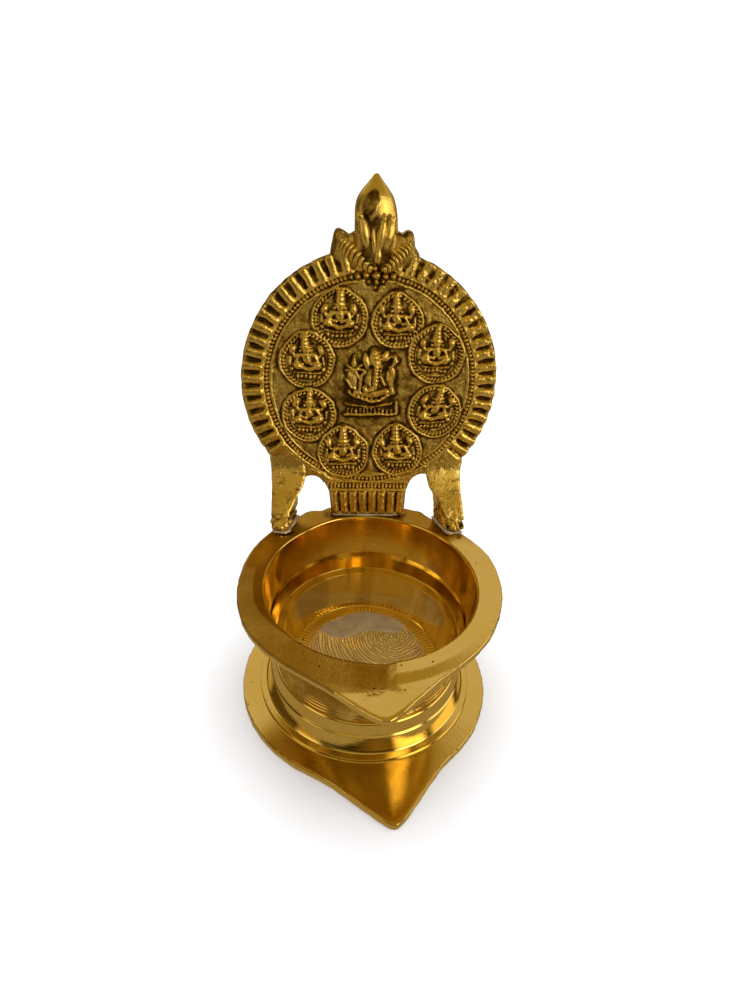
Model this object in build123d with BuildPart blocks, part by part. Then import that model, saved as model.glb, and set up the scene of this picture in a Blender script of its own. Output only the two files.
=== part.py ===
"""Small cast-brass cup lamp: a spouted oil cup on a hollow turned pedestal, with a relief back plate.

Units are millimetres. The origin is the centre of the turned axis on the surface that the foot stands on.
+Z is up, -Y is the spout side, +X is the right-hand side when the relief faces the viewer.
"""

import os
from math import atan2, cos, radians, sin, tan

from build123d import *

os.makedirs("parts", exist_ok=True)

# ---- Driving dimensions: oil cup ----
rim_z = 35.0  # top of the flange
mouth_r = 25.0  # inner edge of the flange
flange_r = 31.3
flange_t = 1.9
floor_z = 9.25  # inside floor of the well
floor_r = 18.3
ledge_r, ledge_z = 20.2, 19.7  # inner edge of the flat ledge round the lower well
ledge_out_r, ledge_out_z = 22.3, 19.85  # outer edge of the ledge, where the steep wall starts
wall_r, wall_z = 23.8, 24.2  # ring where the steep wall meets the upper wall
cup_under_z = 7.25  # underside of the cup's floor
spigot_r = 20.6  # turned spigot that drops into the pedestal's collar
waist_r, waist_z = 21.6, 15.2
bowl_r, bowl_z = 26.4, 30.4

# ---- Driving dimensions: wick spout ----
spout_turn = 1.5  # degrees towards +X from the -Y direction
spout_tip_r = 38.6
spout_half_angle = 20.0
spout_tip_round = 2.6
spout_root_round = 14.0
channel_depth, channel_half_width = 1.6, 6.5  # at the mouth
channel_tip_depth, channel_tip_half_width = 0.7, 2.4
keel_drop = 2.0

# ---- Driving dimensions: pedestal ----
collar_z = 11.8
collar_r = 22.85
groove_z, groove_r, groove_size = 8.5, 23.8, 0.35
foot_wall_r, foot_wall_z = 24.7, 5.2
ring_r, ring_z = 26.6, 3.7  # turned ring where the drum meets the brim
ring_step = 0.65
brim_r, brim_edge_z = 31.55, 2.0
hollow_r, hollow_top_r = 21.8, 20.6
shelf_z = 5.25  # underside of the shelf that the cup sits on
nose_turn = 6.5
nose_tip_r = 41.9
nose_half_angle = 23.5
nose_tip_round = 3.2
nose_root_round = 20.0

# ---- Driving dimensions: rivet and solder ----
rivet_r, rivet_head_r, rivet_head_t = 2.4, 3.9, 1.2
tail_r, tail_t = 3.6, 1.3
floor_solder_t = 0.3
bead_size = 1.0

# ---- Driving dimensions: back plate ----
lean = 12.16  # degrees back from vertical
foot_y = 26.63  # where the face of the plate meets the flange
plate_t = 1.8
disc_r, disc_u = 31.2, 35.2  # u runs up the leaning face from the flange
border_r, border_t = 26.9, 0.35
flute_count, flute_t, flute_w = 68, 0.5, 1.45
bead_ring_r, bead_ring_w, bead_ring_t = 25.7, 1.1, 0.6
line_ring_r, line_ring_w, line_ring_t = 24.5, 0.45, 0.3
medallion_count, medallion_ring_r = 8, 17.2
medallion_r, medallion_rim_w, medallion_rim_t = 6.5, 0.9, 0.7
finial_top_u, finial_base_u, finial_r = 82.1, 67.5, 4.75
leaf_tip_x, leaf_tip_u = 8.3, 70.6
stem_top_u, stem_top_half = 9.4, 11.2
stem_half = 9.6
stem_flute_count, stem_flute_t = 8, 0.7
arch_x, arch_top_u, arch_half = 14.3, 10.6, 3.1


def edge_point(radius, turn):
    """Point on a circle about the axis, turned towards +X from the -Y direction."""
    return (radius * sin(radians(turn)), -radius * cos(radians(turn)))


def pointed_disc(radius, turn, tip_r, half_angle, tip_round, root_round):
    """Round disc drawn out to one rounded point, with hollow curves where the point leaves the circle."""
    apex_r = tip_r
    for _ in range(20):  # the apex that the rounding then cuts back to tip_r
        root_x, root_y = edge_point(radius, half_angle)
        flank = atan2(root_x, apex_r + root_y)
        apex_r = tip_r + tip_round * (1 / sin(flank) - 1)
    with BuildSketch() as outline:
        Circle(radius)
        with BuildLine():
            Polyline(
                (0, 0),
                edge_point(radius, turn - half_angle),
                edge_point(apex_r, turn),
                edge_point(radius, turn + half_angle),
                close=True,
            )
        make_face()
        corners = outline.vertices().group_by(lambda v: round(Vector(v).length, 1))
        fillet(corners[-1], tip_round)
        roots = [v for v in outline.vertices() if abs(Vector(v).length - radius) < 0.05]
        roots = [v for v in roots if abs(v.X - edge_point(radius, turn)[0]) < radius / 2 and v.Y < 0]
        fillet(roots, root_round)
    return outline.sketch


# ---- Oil cup: one casting with its flange and wick spout ----
with BuildPart() as oil_cup:
    with BuildSketch(Plane.XZ):
        with BuildLine():
            Polyline(
                (0, cup_under_z),
                (0, floor_z),
                (floor_r, floor_z),
                (ledge_r, ledge_z),
                (ledge_out_r, ledge_out_z),
                (wall_r, wall_z),
                (mouth_r, rim_z),
                (flange_r, rim_z),
                (flange_r, rim_z - flange_t),
                (bowl_r + 0.6, rim_z - flange_t),
                (bowl_r, bowl_z),
            )
            Spline(
                (bowl_r, bowl_z),
                (bowl_r - 1.7, bowl_z - 7.2),
                (waist_r, waist_z),
                (collar_r - 0.5, collar_z),
                tangents=[(-0.05, -1), (0.35, -1)],
            )
            Polyline(
                (collar_r - 0.5, collar_z),
                (spigot_r, collar_z),
                (spigot_r, cup_under_z),
                (0, cup_under_z),
            )
        make_face()
    revolve(axis=Axis.Z)
    # Spout: the flange drawn out to a point, with a keel below it
    with BuildSketch(Plane.XY.offset(rim_z - flange_t)):
        add(
            pointed_disc(
                flange_r, spout_turn, spout_tip_r, spout_half_angle, spout_tip_round, spout_root_round
            )
        )
        Circle(mouth_r + 0.4, mode=Mode.SUBTRACT)
    extrude(amount=flange_t)
    with BuildSketch(Plane.XZ.offset(mouth_r + 0.6)) as keel_root:
        with BuildLine():
            Polyline(
                (-channel_half_width - 2.5, rim_z - flange_t + 0.2),
                (0.4, rim_z - flange_t - keel_drop),
                (channel_half_width + 3.5, rim_z - flange_t + 0.2),
                close=True,
            )
        make_face()
    with BuildSketch(Plane.XZ.offset(spout_tip_r - 1.5)) as keel_tip:
        with BuildLine():
            Polyline(
                (0.1, rim_z - flange_t + 0.2),
                (0.9, rim_z - flange_t - 0.3),
                (1.7, rim_z - flange_t + 0.2),
                close=True,
            )
        make_face()
    loft([keel_root.sketch, keel_tip.sketch])
    # Wick channel: a valley that runs from a notch in the mouth to the tip
    with BuildSketch(Plane.XZ.offset(mouth_r - 2.5)) as notch:
        with BuildLine():
            Polyline(
                (0.6 - channel_half_width, rim_z + 0.1),
                (0.6, rim_z - channel_depth),
                (0.6 + channel_half_width, rim_z + 0.1),
                close=True,
            )
        make_face()
    with BuildSketch(Plane.XZ.offset(spout_tip_r + 1)) as lip:
        with BuildLine():
            Polyline(
                (1.0 - channel_tip_half_width, rim_z + 0.1),
                (1.0, rim_z - channel_tip_depth),
                (1.0 + channel_tip_half_width, rim_z + 0.1),
                close=True,
            )
        make_face()
    loft([notch.sketch, lip.sketch], mode=Mode.SUBTRACT)
    # Countersunk hole for the rivet's flush head
    with BuildSketch(Plane.XZ):
        with BuildLine():
            Polyline(
                (0, cup_under_z),
                (rivet_r, cup_under_z),
                (rivet_r, floor_z - rivet_head_t),
                (rivet_head_r, floor_z),
                (0, floor_z),
                close=True,
            )
        make_face()
    revolve(axis=Axis.Z, mode=Mode.SUBTRACT)

oil_cup.part.label = "oil_cup"
export_step(oil_cup.part, "parts/oil_cup.step")


# ---- Pedestal: hollow turned drum, brim and pointed nose in one casting ----
with BuildPart() as pedestal_base:
    with BuildSketch(Plane.XZ):
        with BuildLine():
            Polyline(
                (foot_wall_r, foot_wall_z),
                (groove_r + 0.08, groove_z - groove_size),
                (groove_r - groove_size, groove_z),
                (groove_r - 0.08, groove_z + groove_size),
                (collar_r, collar_z - 0.4),
                (collar_r - 0.3, collar_z),
                (spigot_r, collar_z),
                (spigot_r, cup_under_z),
                (rivet_r, cup_under_z),
                (rivet_r, shelf_z),
                (hollow_top_r, shelf_z),
                (hollow_r, 0),
                (brim_r, 0),
                (brim_r, brim_edge_z - 0.3),
                (brim_r - 0.3, brim_edge_z),
                (ring_r + 0.35, ring_z - ring_step),
                (ring_r, ring_z - ring_step + 0.1),
                (ring_r, ring_z),
            )
            Spline(
                (ring_r, ring_z),
                (foot_wall_r + 0.55, ring_z + 0.35),
                (foot_wall_r, foot_wall_z),
                tangents=[(-1, 0.02), (-0.2, 1)],
            )
        make_face()
    revolve(axis=Axis.Z)
    with BuildSketch():
        add(
            pointed_disc(
                brim_r, nose_turn, nose_tip_r, nose_half_angle, nose_tip_round, nose_root_round
            )
        )
        Circle(ring_r, mode=Mode.SUBTRACT)
    extrude(amount=brim_edge_z - 0.1)

pedestal_base.part.label = "pedestal_base"
export_step(pedestal_base.part, "parts/pedestal_base.step")


# ---- Rivet: flush countersunk head in the cup's floor, domed tail inside the pedestal ----
with BuildPart() as centre_rivet:
    with BuildSketch(Plane.XZ):
        with BuildLine():
            Polyline(
                (0, shelf_z - tail_t),
                (0, floor_z),
                (rivet_head_r, floor_z),
                (rivet_r, floor_z - rivet_head_t),
                (rivet_r, shelf_z),
                (tail_r, shelf_z),
            )
            TangentArc((0, shelf_z - tail_t), (tail_r, shelf_z), tangent=(1, 0))
        make_face()
    revolve(axis=Axis.Z)

centre_rivet.part.label = "centre_rivet"
export_step(centre_rivet.part, "parts/centre_rivet.step")


# ---- Solder: thin tinned patch on the back of the cup's floor ----
with BuildPart() as cup_floor_solder:
    with BuildSketch(Plane.XY.offset(floor_z)):
        with BuildLine():
            Spline(
                (-12.4, 9.4),
                (-8.0, 13.6),
                (0.8, 16.9),
                (8.0, 14.9),
                (12.2, 11.6),
                (9.4, 7.9),
                (1.4, 8.7),
                (-6.4, 6.0),
                periodic=True,
            )
        make_face()
    extrude(amount=floor_solder_t)

cup_floor_solder.part.label = "cup_floor_solder"
export_step(cup_floor_solder.part, "parts/cup_floor_solder.step")


# ---- Back plate ----
face = Plane(
    origin=(0, foot_y, rim_z),
    x_dir=(1, 0, 0),
    z_dir=(0, -cos(radians(lean)), sin(radians(lean))),
)


def face_y(z):
    """Y of the plate's face at a height."""
    return foot_y + (z - rim_z) * tan(radians(lean))


# Level sections of one leg: front outer, front inner, back inner and back outer corners
leg_knee_z = rim_z + 7.5
leg_top_z = rim_z + 16
leg_foot = [(23.6, 19.0), (20.0, 19.0), (17.8, 25.2), (22.4, 22.2)]
leg_knee = [(24.1, 24.0), (19.0, 24.0), (17.5, 27.5), (24.0, 28.2)]
leg_top = [
    (24.3, face_y(leg_top_z) - 0.2),
    (16.6, face_y(leg_top_z) - 0.2),
    (16.4, face_y(leg_top_z) + 1.6),
    (24.2, face_y(leg_top_z) + 1.6),
]


def level_face(z, corners, side):
    """Level polygon of a leg or its solder, mirrored to the side wanted: -1 for left, 1 for right."""
    with BuildSketch(Plane.XY.offset(z)) as section:
        with BuildLine():
            Polyline(*[(side * x, y) for x, y in corners], close=True)
        make_face()
    return section.sketch


with BuildPart() as back_plate:
    # Slab with its outline: disc, stem, leaves; the two arches are cut away
    with BuildSketch(face.offset(-plate_t)):
        with Locations((0, disc_u)):
            Circle(disc_r)
        with BuildLine():
            Polyline(
                (-stem_half, -3),
                (-stem_half, 1.5),
                (-stem_top_half, stem_top_u - 1),
                (stem_top_half, stem_top_u - 1),
                (stem_half, 1.5),
                (stem_half, -3),
                close=True,
            )
        make_face()
        for side in (-1, 1):
            with BuildLine():
                Polyline(
                    (side * 1.0, 62.0),
                    (side * 9.6, 64.2),
                    (side * 9.6, 67.0),
                    (side * leaf_tip_x, leaf_tip_u),
                    (side * 5.6, 69.8),
                    (side * 1.0, 69.0),
                    close=True,
                )
            make_face()
            with Locations((side * arch_x, arch_top_u - arch_half)):
                Circle(arch_half, mode=Mode.SUBTRACT)
            with BuildLine():
                Polyline(
                    (side * (arch_x + arch_half), arch_top_u - arch_half),
                    (side * (arch_x - arch_half), arch_top_u - arch_half),
                    (side * (stem_half + 0.2), 0),
                    (side * 26, 0),
                    (side * 26, arch_top_u - arch_half),
                    close=True,
                )
            make_face(mode=Mode.SUBTRACT)
    extrude(amount=plate_t)
    # Finial: a pointed bud
    with BuildSketch(face):
        with BuildLine():
            Spline(
                (0, finial_top_u),
                (finial_r * 0.62, finial_top_u - 3.2),
                (finial_r, finial_top_u - 7.4),
                (finial_r * 0.98, finial_top_u - 10.5),
                (finial_r * 1.1, finial_base_u),
                tangents=[(0.7, -0.7), (0.2, -1)],
            )
            Polyline((finial_r * 1.1, finial_base_u), (0, finial_base_u), (0, finial_top_u))
        make_face()
    revolve(axis=Axis(face.origin, face.y_dir))
    split(bisect_by=face.offset(-plate_t), keep=Keep.TOP)
    # Raised border, its radial flutes, the bead ring and the thin inner ring
    with BuildSketch(face):
        with Locations((0, disc_u)):
            Circle(disc_r)
            Circle(border_r, mode=Mode.SUBTRACT)
        with Locations((0, 0)):
            Rectangle(60, 2 * (stem_top_u + 1.4), mode=Mode.SUBTRACT)
    extrude(amount=border_t)
    with BuildSketch(face):
        with Locations((0, disc_u)):
            with PolarLocations((disc_r + border_r) / 2, flute_count, start_angle=-90 + 180 / flute_count):
                Rectangle(disc_r - border_r - 0.5, flute_w)
        with Locations((0, 0)):
            Rectangle(60, 2 * (stem_top_u + 1.6), mode=Mode.SUBTRACT)
    extrude(amount=border_t + flute_t)
    for ring_radius, width, height in (
        (bead_ring_r, bead_ring_w, bead_ring_t),
        (line_ring_r, line_ring_w, line_ring_t),
    ):
        with BuildSketch(face):
            with Locations((0, disc_u)):
                Circle(ring_radius + width / 2)
                Circle(ring_radius - width / 2, mode=Mode.SUBTRACT)
        extrude(amount=height)
    # Stem: a level bead row above upright flutes
    with BuildSketch(face):
        with Locations((0, stem_top_u - 1.2)):
            Rectangle(2 * stem_top_half - 1, 1.6)
        with Locations((0, 2.4)):
            with GridLocations(2 * stem_half / stem_flute_count, 0, stem_flute_count, 1):
                Rectangle(1.5, 9.4)
    extrude(amount=stem_flute_t)
    # Medallions: a rim with a crowned seated figure on a lotus seat
    with BuildSketch(face):
        with Locations((0, disc_u)):
            with PolarLocations(
                medallion_ring_r, medallion_count, start_angle=180 / medallion_count, rotate=False
            ):
                Circle(medallion_r)
                Circle(medallion_r - medallion_rim_w, mode=Mode.SUBTRACT)
    extrude(amount=medallion_rim_t)
    for offset_u, shape_w, shape_h, height in (
        (-3.4, 6.4, 1.6, 0.7),
        (-2.1, 6.8, 2.0, 1.0),
        (-0.2, 3.4, 3.6, 1.1),
        (2.0, 2.0, 2.2, 1.4),
        (4.0, 1.5, 4.4, 1.0),
    ):
        with BuildSketch(face):
            with Locations((0, disc_u + offset_u)):
                with PolarLocations(
                    medallion_ring_r, medallion_count, start_angle=180 / medallion_count, rotate=False
                ):
                    Ellipse(shape_w / 2, shape_h / 2)
        extrude(amount=height)
    # Centre: an elephant-headed seated figure between two attendants, on a plinth
    with BuildSketch(face):
        with Locations((0, 28.0)):
            Rectangle(12.4, 2.4)
        with Locations((0, 30.2)):
            Ellipse(5.8, 1.2)
    extrude(amount=0.8)
    for x, u, half_w, half_h, height in (
        (0, 32.2, 4.4, 1.7, 1.2),
        (0, 35.2, 2.9, 2.9, 1.4),
        (0, 39.2, 2.1, 1.9, 1.8),
        (0, 42.6, 1.3, 2.3, 1.2),
        (-2.5, 39.4, 1.2, 1.5, 1.0),
        (2.5, 39.4, 1.2, 1.5, 1.0),
        (0.6, 36.6, 0.8, 2.0, 2.1),
        (-5.4, 34.4, 1.1, 2.9, 0.9),
        (5.4, 34.4, 1.1, 2.9, 0.9),
        (-5.4, 37.8, 0.9, 1.2, 1.1),
        (5.4, 37.8, 0.9, 1.2, 1.1),
    ):
        with BuildSketch(face):
            with Locations((x, u)):
                Ellipse(half_w, half_h)
        extrude(amount=height)
    # Legs: they bend forwards from the plate to stand on the flange
    for side in (-1, 1):
        loft(
            [
                level_face(rim_z, leg_foot, side),
                level_face(leg_knee_z, leg_knee, side),
                level_face(leg_top_z, leg_top, side),
            ],
            ruled=True,
        )
    split(bisect_by=Plane.XY.offset(rim_z), keep=Keep.TOP)

back_plate.part.label = "back_plate"
export_step(back_plate.part, "parts/back_plate.step")


# ---- Solder round the feet: a bead along the front and the inner side of each leg ----
def bead_outline(height, width):
    """The leg's front and inner edges at a height above the flange, and the bead's outer edge beside them."""
    share = height / (leg_knee_z - rim_z)
    edge = []
    for low, high in list(zip(leg_foot, leg_knee))[:3]:
        edge.append((low[0] + share * (high[0] - low[0]), low[1] + share * (high[1] - low[1])))
    outer, corner, inner = edge
    return edge + [
        (inner[0] - width * 0.94, inner[1] - width * 0.33),
        (corner[0] - width * 0.6, corner[1] - width),
        (outer[0], outer[1] - width),
    ]


for side, name in ((-1, "left_leg_solder"), (1, "right_leg_solder")):
    with BuildPart() as leg_solder:
        loft(
            [
                level_face(rim_z, bead_outline(0, bead_size), side),
                level_face(rim_z + bead_size, bead_outline(bead_size, bead_size * 0.15), side),
            ],
            ruled=True,
        )
    leg_solder.part.label = name
    export_step(leg_solder.part, f"parts/{name}.step")


# ---- Solder along the front of the stem's foot ----
stem_front_y = foot_y - stem_flute_t / cos(radians(lean))

with BuildPart() as stem_solder:
    with BuildSketch(Plane.YZ):
        with BuildLine():
            Polyline(
                (stem_front_y, rim_z),
                (stem_front_y - 0.65, rim_z),
                (stem_front_y + 0.6 * tan(radians(lean)), rim_z + 0.6),
                close=True,
            )
        make_face()
    extrude(amount=8.2, both=True)

stem_solder.part.label = "stem_solder"
export_step(stem_solder.part, "parts/stem_solder.step")
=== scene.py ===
"""Looks of a small cast-brass cup lamp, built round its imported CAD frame.

Shapes are worked out in millimetres in the CAD frame, and new_piece() turns them into metres.
On the leaning back plate, x runs to the right, u up the plate's face from its foot, and n out of it.
"""

from math import cos, pi, radians, sin

import bmesh
import bpy
import numpy as np
from mathutils import Matrix, Vector


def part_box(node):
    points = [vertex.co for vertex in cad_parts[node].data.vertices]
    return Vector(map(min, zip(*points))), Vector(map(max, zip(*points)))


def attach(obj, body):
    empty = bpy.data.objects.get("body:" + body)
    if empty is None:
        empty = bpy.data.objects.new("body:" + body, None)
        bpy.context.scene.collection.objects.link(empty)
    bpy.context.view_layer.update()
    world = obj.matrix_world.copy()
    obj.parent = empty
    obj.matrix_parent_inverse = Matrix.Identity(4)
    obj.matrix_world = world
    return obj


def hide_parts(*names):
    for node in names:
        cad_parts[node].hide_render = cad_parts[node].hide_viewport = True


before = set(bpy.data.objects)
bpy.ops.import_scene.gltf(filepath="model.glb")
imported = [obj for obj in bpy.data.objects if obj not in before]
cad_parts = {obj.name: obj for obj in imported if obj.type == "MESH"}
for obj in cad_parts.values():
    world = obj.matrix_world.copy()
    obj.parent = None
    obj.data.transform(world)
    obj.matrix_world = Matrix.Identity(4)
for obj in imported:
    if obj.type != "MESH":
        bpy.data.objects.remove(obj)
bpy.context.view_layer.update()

MM = 0.001
ROOT = "root"

# ---- Sizes read from the frame ----
rim_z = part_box("oil_cup")[1].z / MM  # top of the flange
flange_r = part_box("oil_cup")[1].x / MM
brim_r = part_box("pedestal_base")[1].x / MM
collar_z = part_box("pedestal_base")[1].z / MM
cup_under_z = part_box("oil_cup")[0].z / MM
floor_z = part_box("centre_rivet")[1].z / MM + 0.03  # buffed over the rivet's flush head
patch_low, patch_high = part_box("cup_floor_solder")

# ---- Sizes that the CAD part gives to the same features ----
mouth_r = 25.0
flange_t = 1.9
floor_r = 18.3
ledge_r, ledge_z = 20.2, 19.7
ledge_out_r, ledge_out_z = 22.3, 19.85
wall_r, wall_z = 23.8, 24.2
spigot_r = 20.6
bowl_r, bowl_z = 26.4, 30.4
ring_r, ring_z = 26.6, 3.7
lean = radians(12.16)
foot_y = 26.63
plate_t = 1.8
disc_r, disc_u = 31.2, 35.2


# ---- Meshes ----
def new_piece(name, points, faces, material, slot, replaces, sharp_angle=55, **attributes):
    """A mesh piece that rides on the frame's one body, with per-point attributes for its material."""
    mesh = bpy.data.meshes.new(name)
    mesh.from_pydata((np.asarray(points) * MM).tolist(), [], faces)
    mesh.validate()
    enclosed = bmesh.new()
    enclosed.from_mesh(mesh)
    if enclosed.calc_volume(signed=True) < 0:  # its faces look inwards
        mesh.flip_normals()
    enclosed.free()
    for key, values in attributes.items():
        layer = mesh.attributes.new(key, "FLOAT", "POINT")
        layer.data.foreach_set("value", np.asarray(values, np.float32).ravel())
    mesh.shade_smooth()
    mesh.set_sharp_from_angle(angle=radians(sharp_angle))
    mesh.materials.append(material)
    piece = bpy.data.objects.new(name, mesh)
    bpy.context.scene.collection.objects.link(piece)
    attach(piece, ROOT)
    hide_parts(*replaces)


def grid_faces(rows, columns, wrap=False, flip=False, start=0):
    """Quads of a grid of points stored row by row. wrap joins the last column to the first."""
    row, column = np.meshgrid(np.arange(rows - 1), np.arange(columns - (not wrap)), indexing="ij")
    beside = (column + 1) % columns
    corners = [row * columns + column, row * columns + beside]
    corners += [(row + 1) * columns + beside, (row + 1) * columns + column]
    quads = np.stack(corners, -1).reshape(-1, 4) + start
    return (quads[:, ::-1] if flip else quads).tolist()


def ease(low, high, value):
    share = np.clip((value - low) / (high - low), 0, 1)
    return share * share * (3 - 2 * share)


def smooth_max(a, b, blend):
    return (a + b + np.sqrt((a - b) ** 2 + blend**2)) / 2


def bump_at(value, centre, width):
    return np.exp(-(((value - centre) / width) ** 2))


def noise(x, y, z, size, seed):
    """Smooth random values from -1 to 1, about a size apart."""
    lattice = np.random.default_rng(seed).uniform(-1, 1, (32, 32, 32))
    total = 0
    places = [np.asarray(v, float) / size + 16 for v in (x, y, z)]
    lows = [np.floor(p).astype(int) for p in places]
    shares = [p - low for p, low in zip(places, lows)]
    shares = [s * s * (3 - 2 * s) for s in shares]
    for i in (0, 1):
        for j in (0, 1):
            for k in (0, 1):
                weight = 1
                for share, bit in zip(shares, (i, j, k)):
                    weight = weight * (share if bit else 1 - share)
                total = total + weight * lattice[(lows[0] + i) % 32, (lows[1] + j) % 32, (lows[2] + k) % 32]
    return total


def layered_noise(x, y, z, size, seed, layers=3):
    """Noise with finer and weaker layers on top."""
    return sum(noise(x, y, z, size / 2**k, seed + k) / 2**k for k in range(layers))


def rounded_profile(corners):
    """Points along an (r, z) outline. A corner is (r, z, rounding, spacing of the points that follow it)."""
    path = []
    for index, (r, z, rounding, spacing) in enumerate(corners):
        here = np.array([r, z])
        if rounding and 0 < index < len(corners) - 1:
            before = np.array(corners[index - 1][:2]) - here
            after = np.array(corners[index + 1][:2]) - here
            enter = here + before / np.linalg.norm(before) * rounding
            leave = here + after / np.linalg.norm(after) * rounding
            for t in np.linspace(0, 1, 6):
                path.append(((1 - t) ** 2 * enter + 2 * t * (1 - t) * here + t * t * leave, None))
            path[-1] = (path[-1][0], spacing)
        else:
            path.append((here, spacing))
    points = []
    for (start, spacing), (end, _) in zip(path, path[1:]):
        count = max(1, int(np.ceil(np.linalg.norm(end - start) / spacing))) if spacing else 1
        points += [start + (end - start) * k / count for k in range(count)]
    return np.array(points + [path[-1][0]])


def cubic(a, b, c, d, t):
    """Points of the smooth curve from b to c that follows a and leads to d."""
    return 0.5 * (2 * b + (c - a) * t + (2 * a - 5 * b + 4 * c - d) * t**2 + (3 * b - a - 3 * c + d) * t**3)


def curve_through(points, count):
    """Smooth open curve through a few points, as count points."""
    points = np.array(points, float)
    padded = np.vstack([2 * points[0] - points[1], points, 2 * points[-1] - points[-2]])
    places = np.linspace(0, len(points) - 1, count)
    low = np.minimum(places.astype(int), len(points) - 2)
    return cubic(*(padded[low + k] for k in range(4)), (places - low)[:, None])


def loop_through(points, count):
    """Smooth closed curve through a few points, as count points."""
    points = np.array(points, float)
    places = np.arange(count) * len(points) / count
    low = places.astype(int)
    return cubic(*(points[(low + k) % len(points)] for k in (-1, 0, 1, 2)), (places - low)[:, None])


def side_of(line):
    """Unit vectors to the right of a line of 2-D points."""
    along = np.gradient(line, axis=0)
    along = along / np.linalg.norm(along, axis=1, keepdims=True)
    return np.stack([along[:, 1], -along[:, 0]], -1)


def lathe(profile, segments):
    """Points (profile rows by angle columns) and faces of a closed turned solid whose outline meets the axis.

    The angle runs from the spout's side, -Y, towards +X."""
    angles = np.arange(segments) * 2 * pi / segments
    rings = profile[1:-1]
    r = np.repeat(rings[:, :1], segments, 1)
    z = np.repeat(rings[:, 1:], segments, 1)
    angle = np.repeat(angles[None, :], len(rings), 0)
    faces = grid_faces(len(rings), segments, wrap=True)
    first, last = len(rings) * segments, len(rings) * segments + 1
    bottom = (len(rings) - 1) * segments
    for k in range(segments):
        faces.append((first, (k + 1) % segments, k))
        faces.append((last, bottom + k, bottom + (k + 1) % segments))
    return r, z, angle, faces


def with_axis(values, bottom=0.0):
    """Values of lathe rows, followed by those of the two points on the axis."""
    return np.append(values.ravel(), [bottom, 0.0])


def turned_points(r, z, angle, profile):
    """Frame points of lathe rows, followed by the two points on the axis."""
    rows = np.stack([r * np.sin(angle), -r * np.cos(angle), z], -1).reshape(-1, 3)
    ends = np.array([[0, 0, profile[0][1]], [0, 0, profile[-1][1]]])
    return np.vstack([rows, ends])


def plate_points(x, u, n):
    """Frame points of places on the leaning plate."""
    x, u, n = np.broadcast_arrays(x, u, n)
    y = foot_y + u * sin(lean) - n * cos(lean)
    z = rim_z + u * cos(lean) + n * sin(lean)
    return np.stack([x, y, z], -1).reshape(-1, 3)


# ---- Materials ----
class Graph:
    """The node tree of one material or world, with short ways to add and link nodes."""

    def __init__(self, owner):
        owner.use_nodes = True
        self.owner = owner
        self.tree = owner.node_tree
        self.tree.nodes.clear()

    def node(self, kind, inputs=None, **settings):
        made = self.tree.nodes.new("ShaderNode" + kind)
        for key, value in settings.items():
            setattr(made, key, value)
        for key, value in (inputs or {}).items():
            self.put(made.inputs[key], value)
        return made

    def put(self, socket, value):
        if isinstance(value, bpy.types.NodeSocket):
            self.tree.links.new(value, socket)
        else:
            socket.default_value = value

    def math(self, operation, a, b=0.0, clamp=False):
        made = self.node("Math", {0: a, 1: b}, operation=operation, use_clamp=clamp)
        return made.outputs[0]

    def times(self, a, b):
        return self.math("MULTIPLY", a, b)

    def plus(self, a, b):
        return self.math("ADD", a, b)

    def combine(self, x, y, z=0.0):
        return self.node("CombineXYZ", {"X": x, "Y": y, "Z": z}).outputs[0]

    def attribute(self, name):
        return self.node("Attribute", attribute_name=name).outputs["Fac"]

    def noise(self, vector, scale, detail=3.0, roughness=0.55, distortion=0.0):
        inputs = {"Vector": vector, "Scale": scale, "Detail": detail, "Roughness": roughness}
        inputs["Distortion"] = distortion
        return self.node("TexNoise", inputs).outputs["Fac"]

    def ramp(self, value, low, high, out_low=0.0, out_high=1.0):
        inputs = {"Value": value, "From Min": low, "From Max": high, "To Min": out_low, "To Max": out_high}
        return self.node("MapRange", inputs, clamp=True).outputs["Result"]

    def mix(self, share, a, b):
        made = self.node("Mix", data_type="RGBA")
        self.put(made.inputs["Factor"], share)
        self.put(made.inputs["A"], a)
        self.put(made.inputs["B"], b)
        return made.outputs["Result"]

    def bump(self, height, distance, below=None):
        inputs = {"Height": height, "Distance": distance * MM, "Strength": 1.0}
        if below is not None:
            inputs["Normal"] = below
        return self.node("Bump", inputs).outputs["Normal"]

    def places(self):
        """Object coordinates in millimetres, with the distance and the angle about the lamp's axis."""
        vector = self.node("TexCoord").outputs["Object"]
        vector = self.node("VectorMath", {0: vector, "Scale": 1 / MM}, operation="SCALE").outputs[0]
        x, y, z = self.node("SeparateXYZ", {0: vector}).outputs
        squares = self.plus(self.times(x, x), self.times(y, y))
        return vector, self.math("SQRT", squares), self.math("ARCTAN2", x, self.times(y, -1.0)), z

    def finish(self, **sockets):
        shader = self.node("BsdfPrincipled")
        for key, value in sockets.items():
            self.put(shader.inputs[key.replace("_", " ")], value)
        out = self.node("OutputMaterial")
        self.tree.links.new(shader.outputs["BSDF"], out.inputs["Surface"])
        return self.owner


BRASS = (0.88, 0.70, 0.26, 1)
DEEP_BRASS = (0.85, 0.64, 0.19, 1)
# Tarnish and residue; in cast_brass also painted shade in the recesses and a painted dark reflection on the
# bud
TARNISH_AND_SHADE = (0.20, 0.115, 0.018, 1)
# Soot, flux and pits; in cast_brass also painted shade in the deepest recesses
SOOT_AND_SHADE = (0.035, 0.020, 0.006, 1)
# Painted dark reflections and shade on the turned brass
PAINTED_DARK_BROWN = (0.40, 0.215, 0.012, 1)


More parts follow.
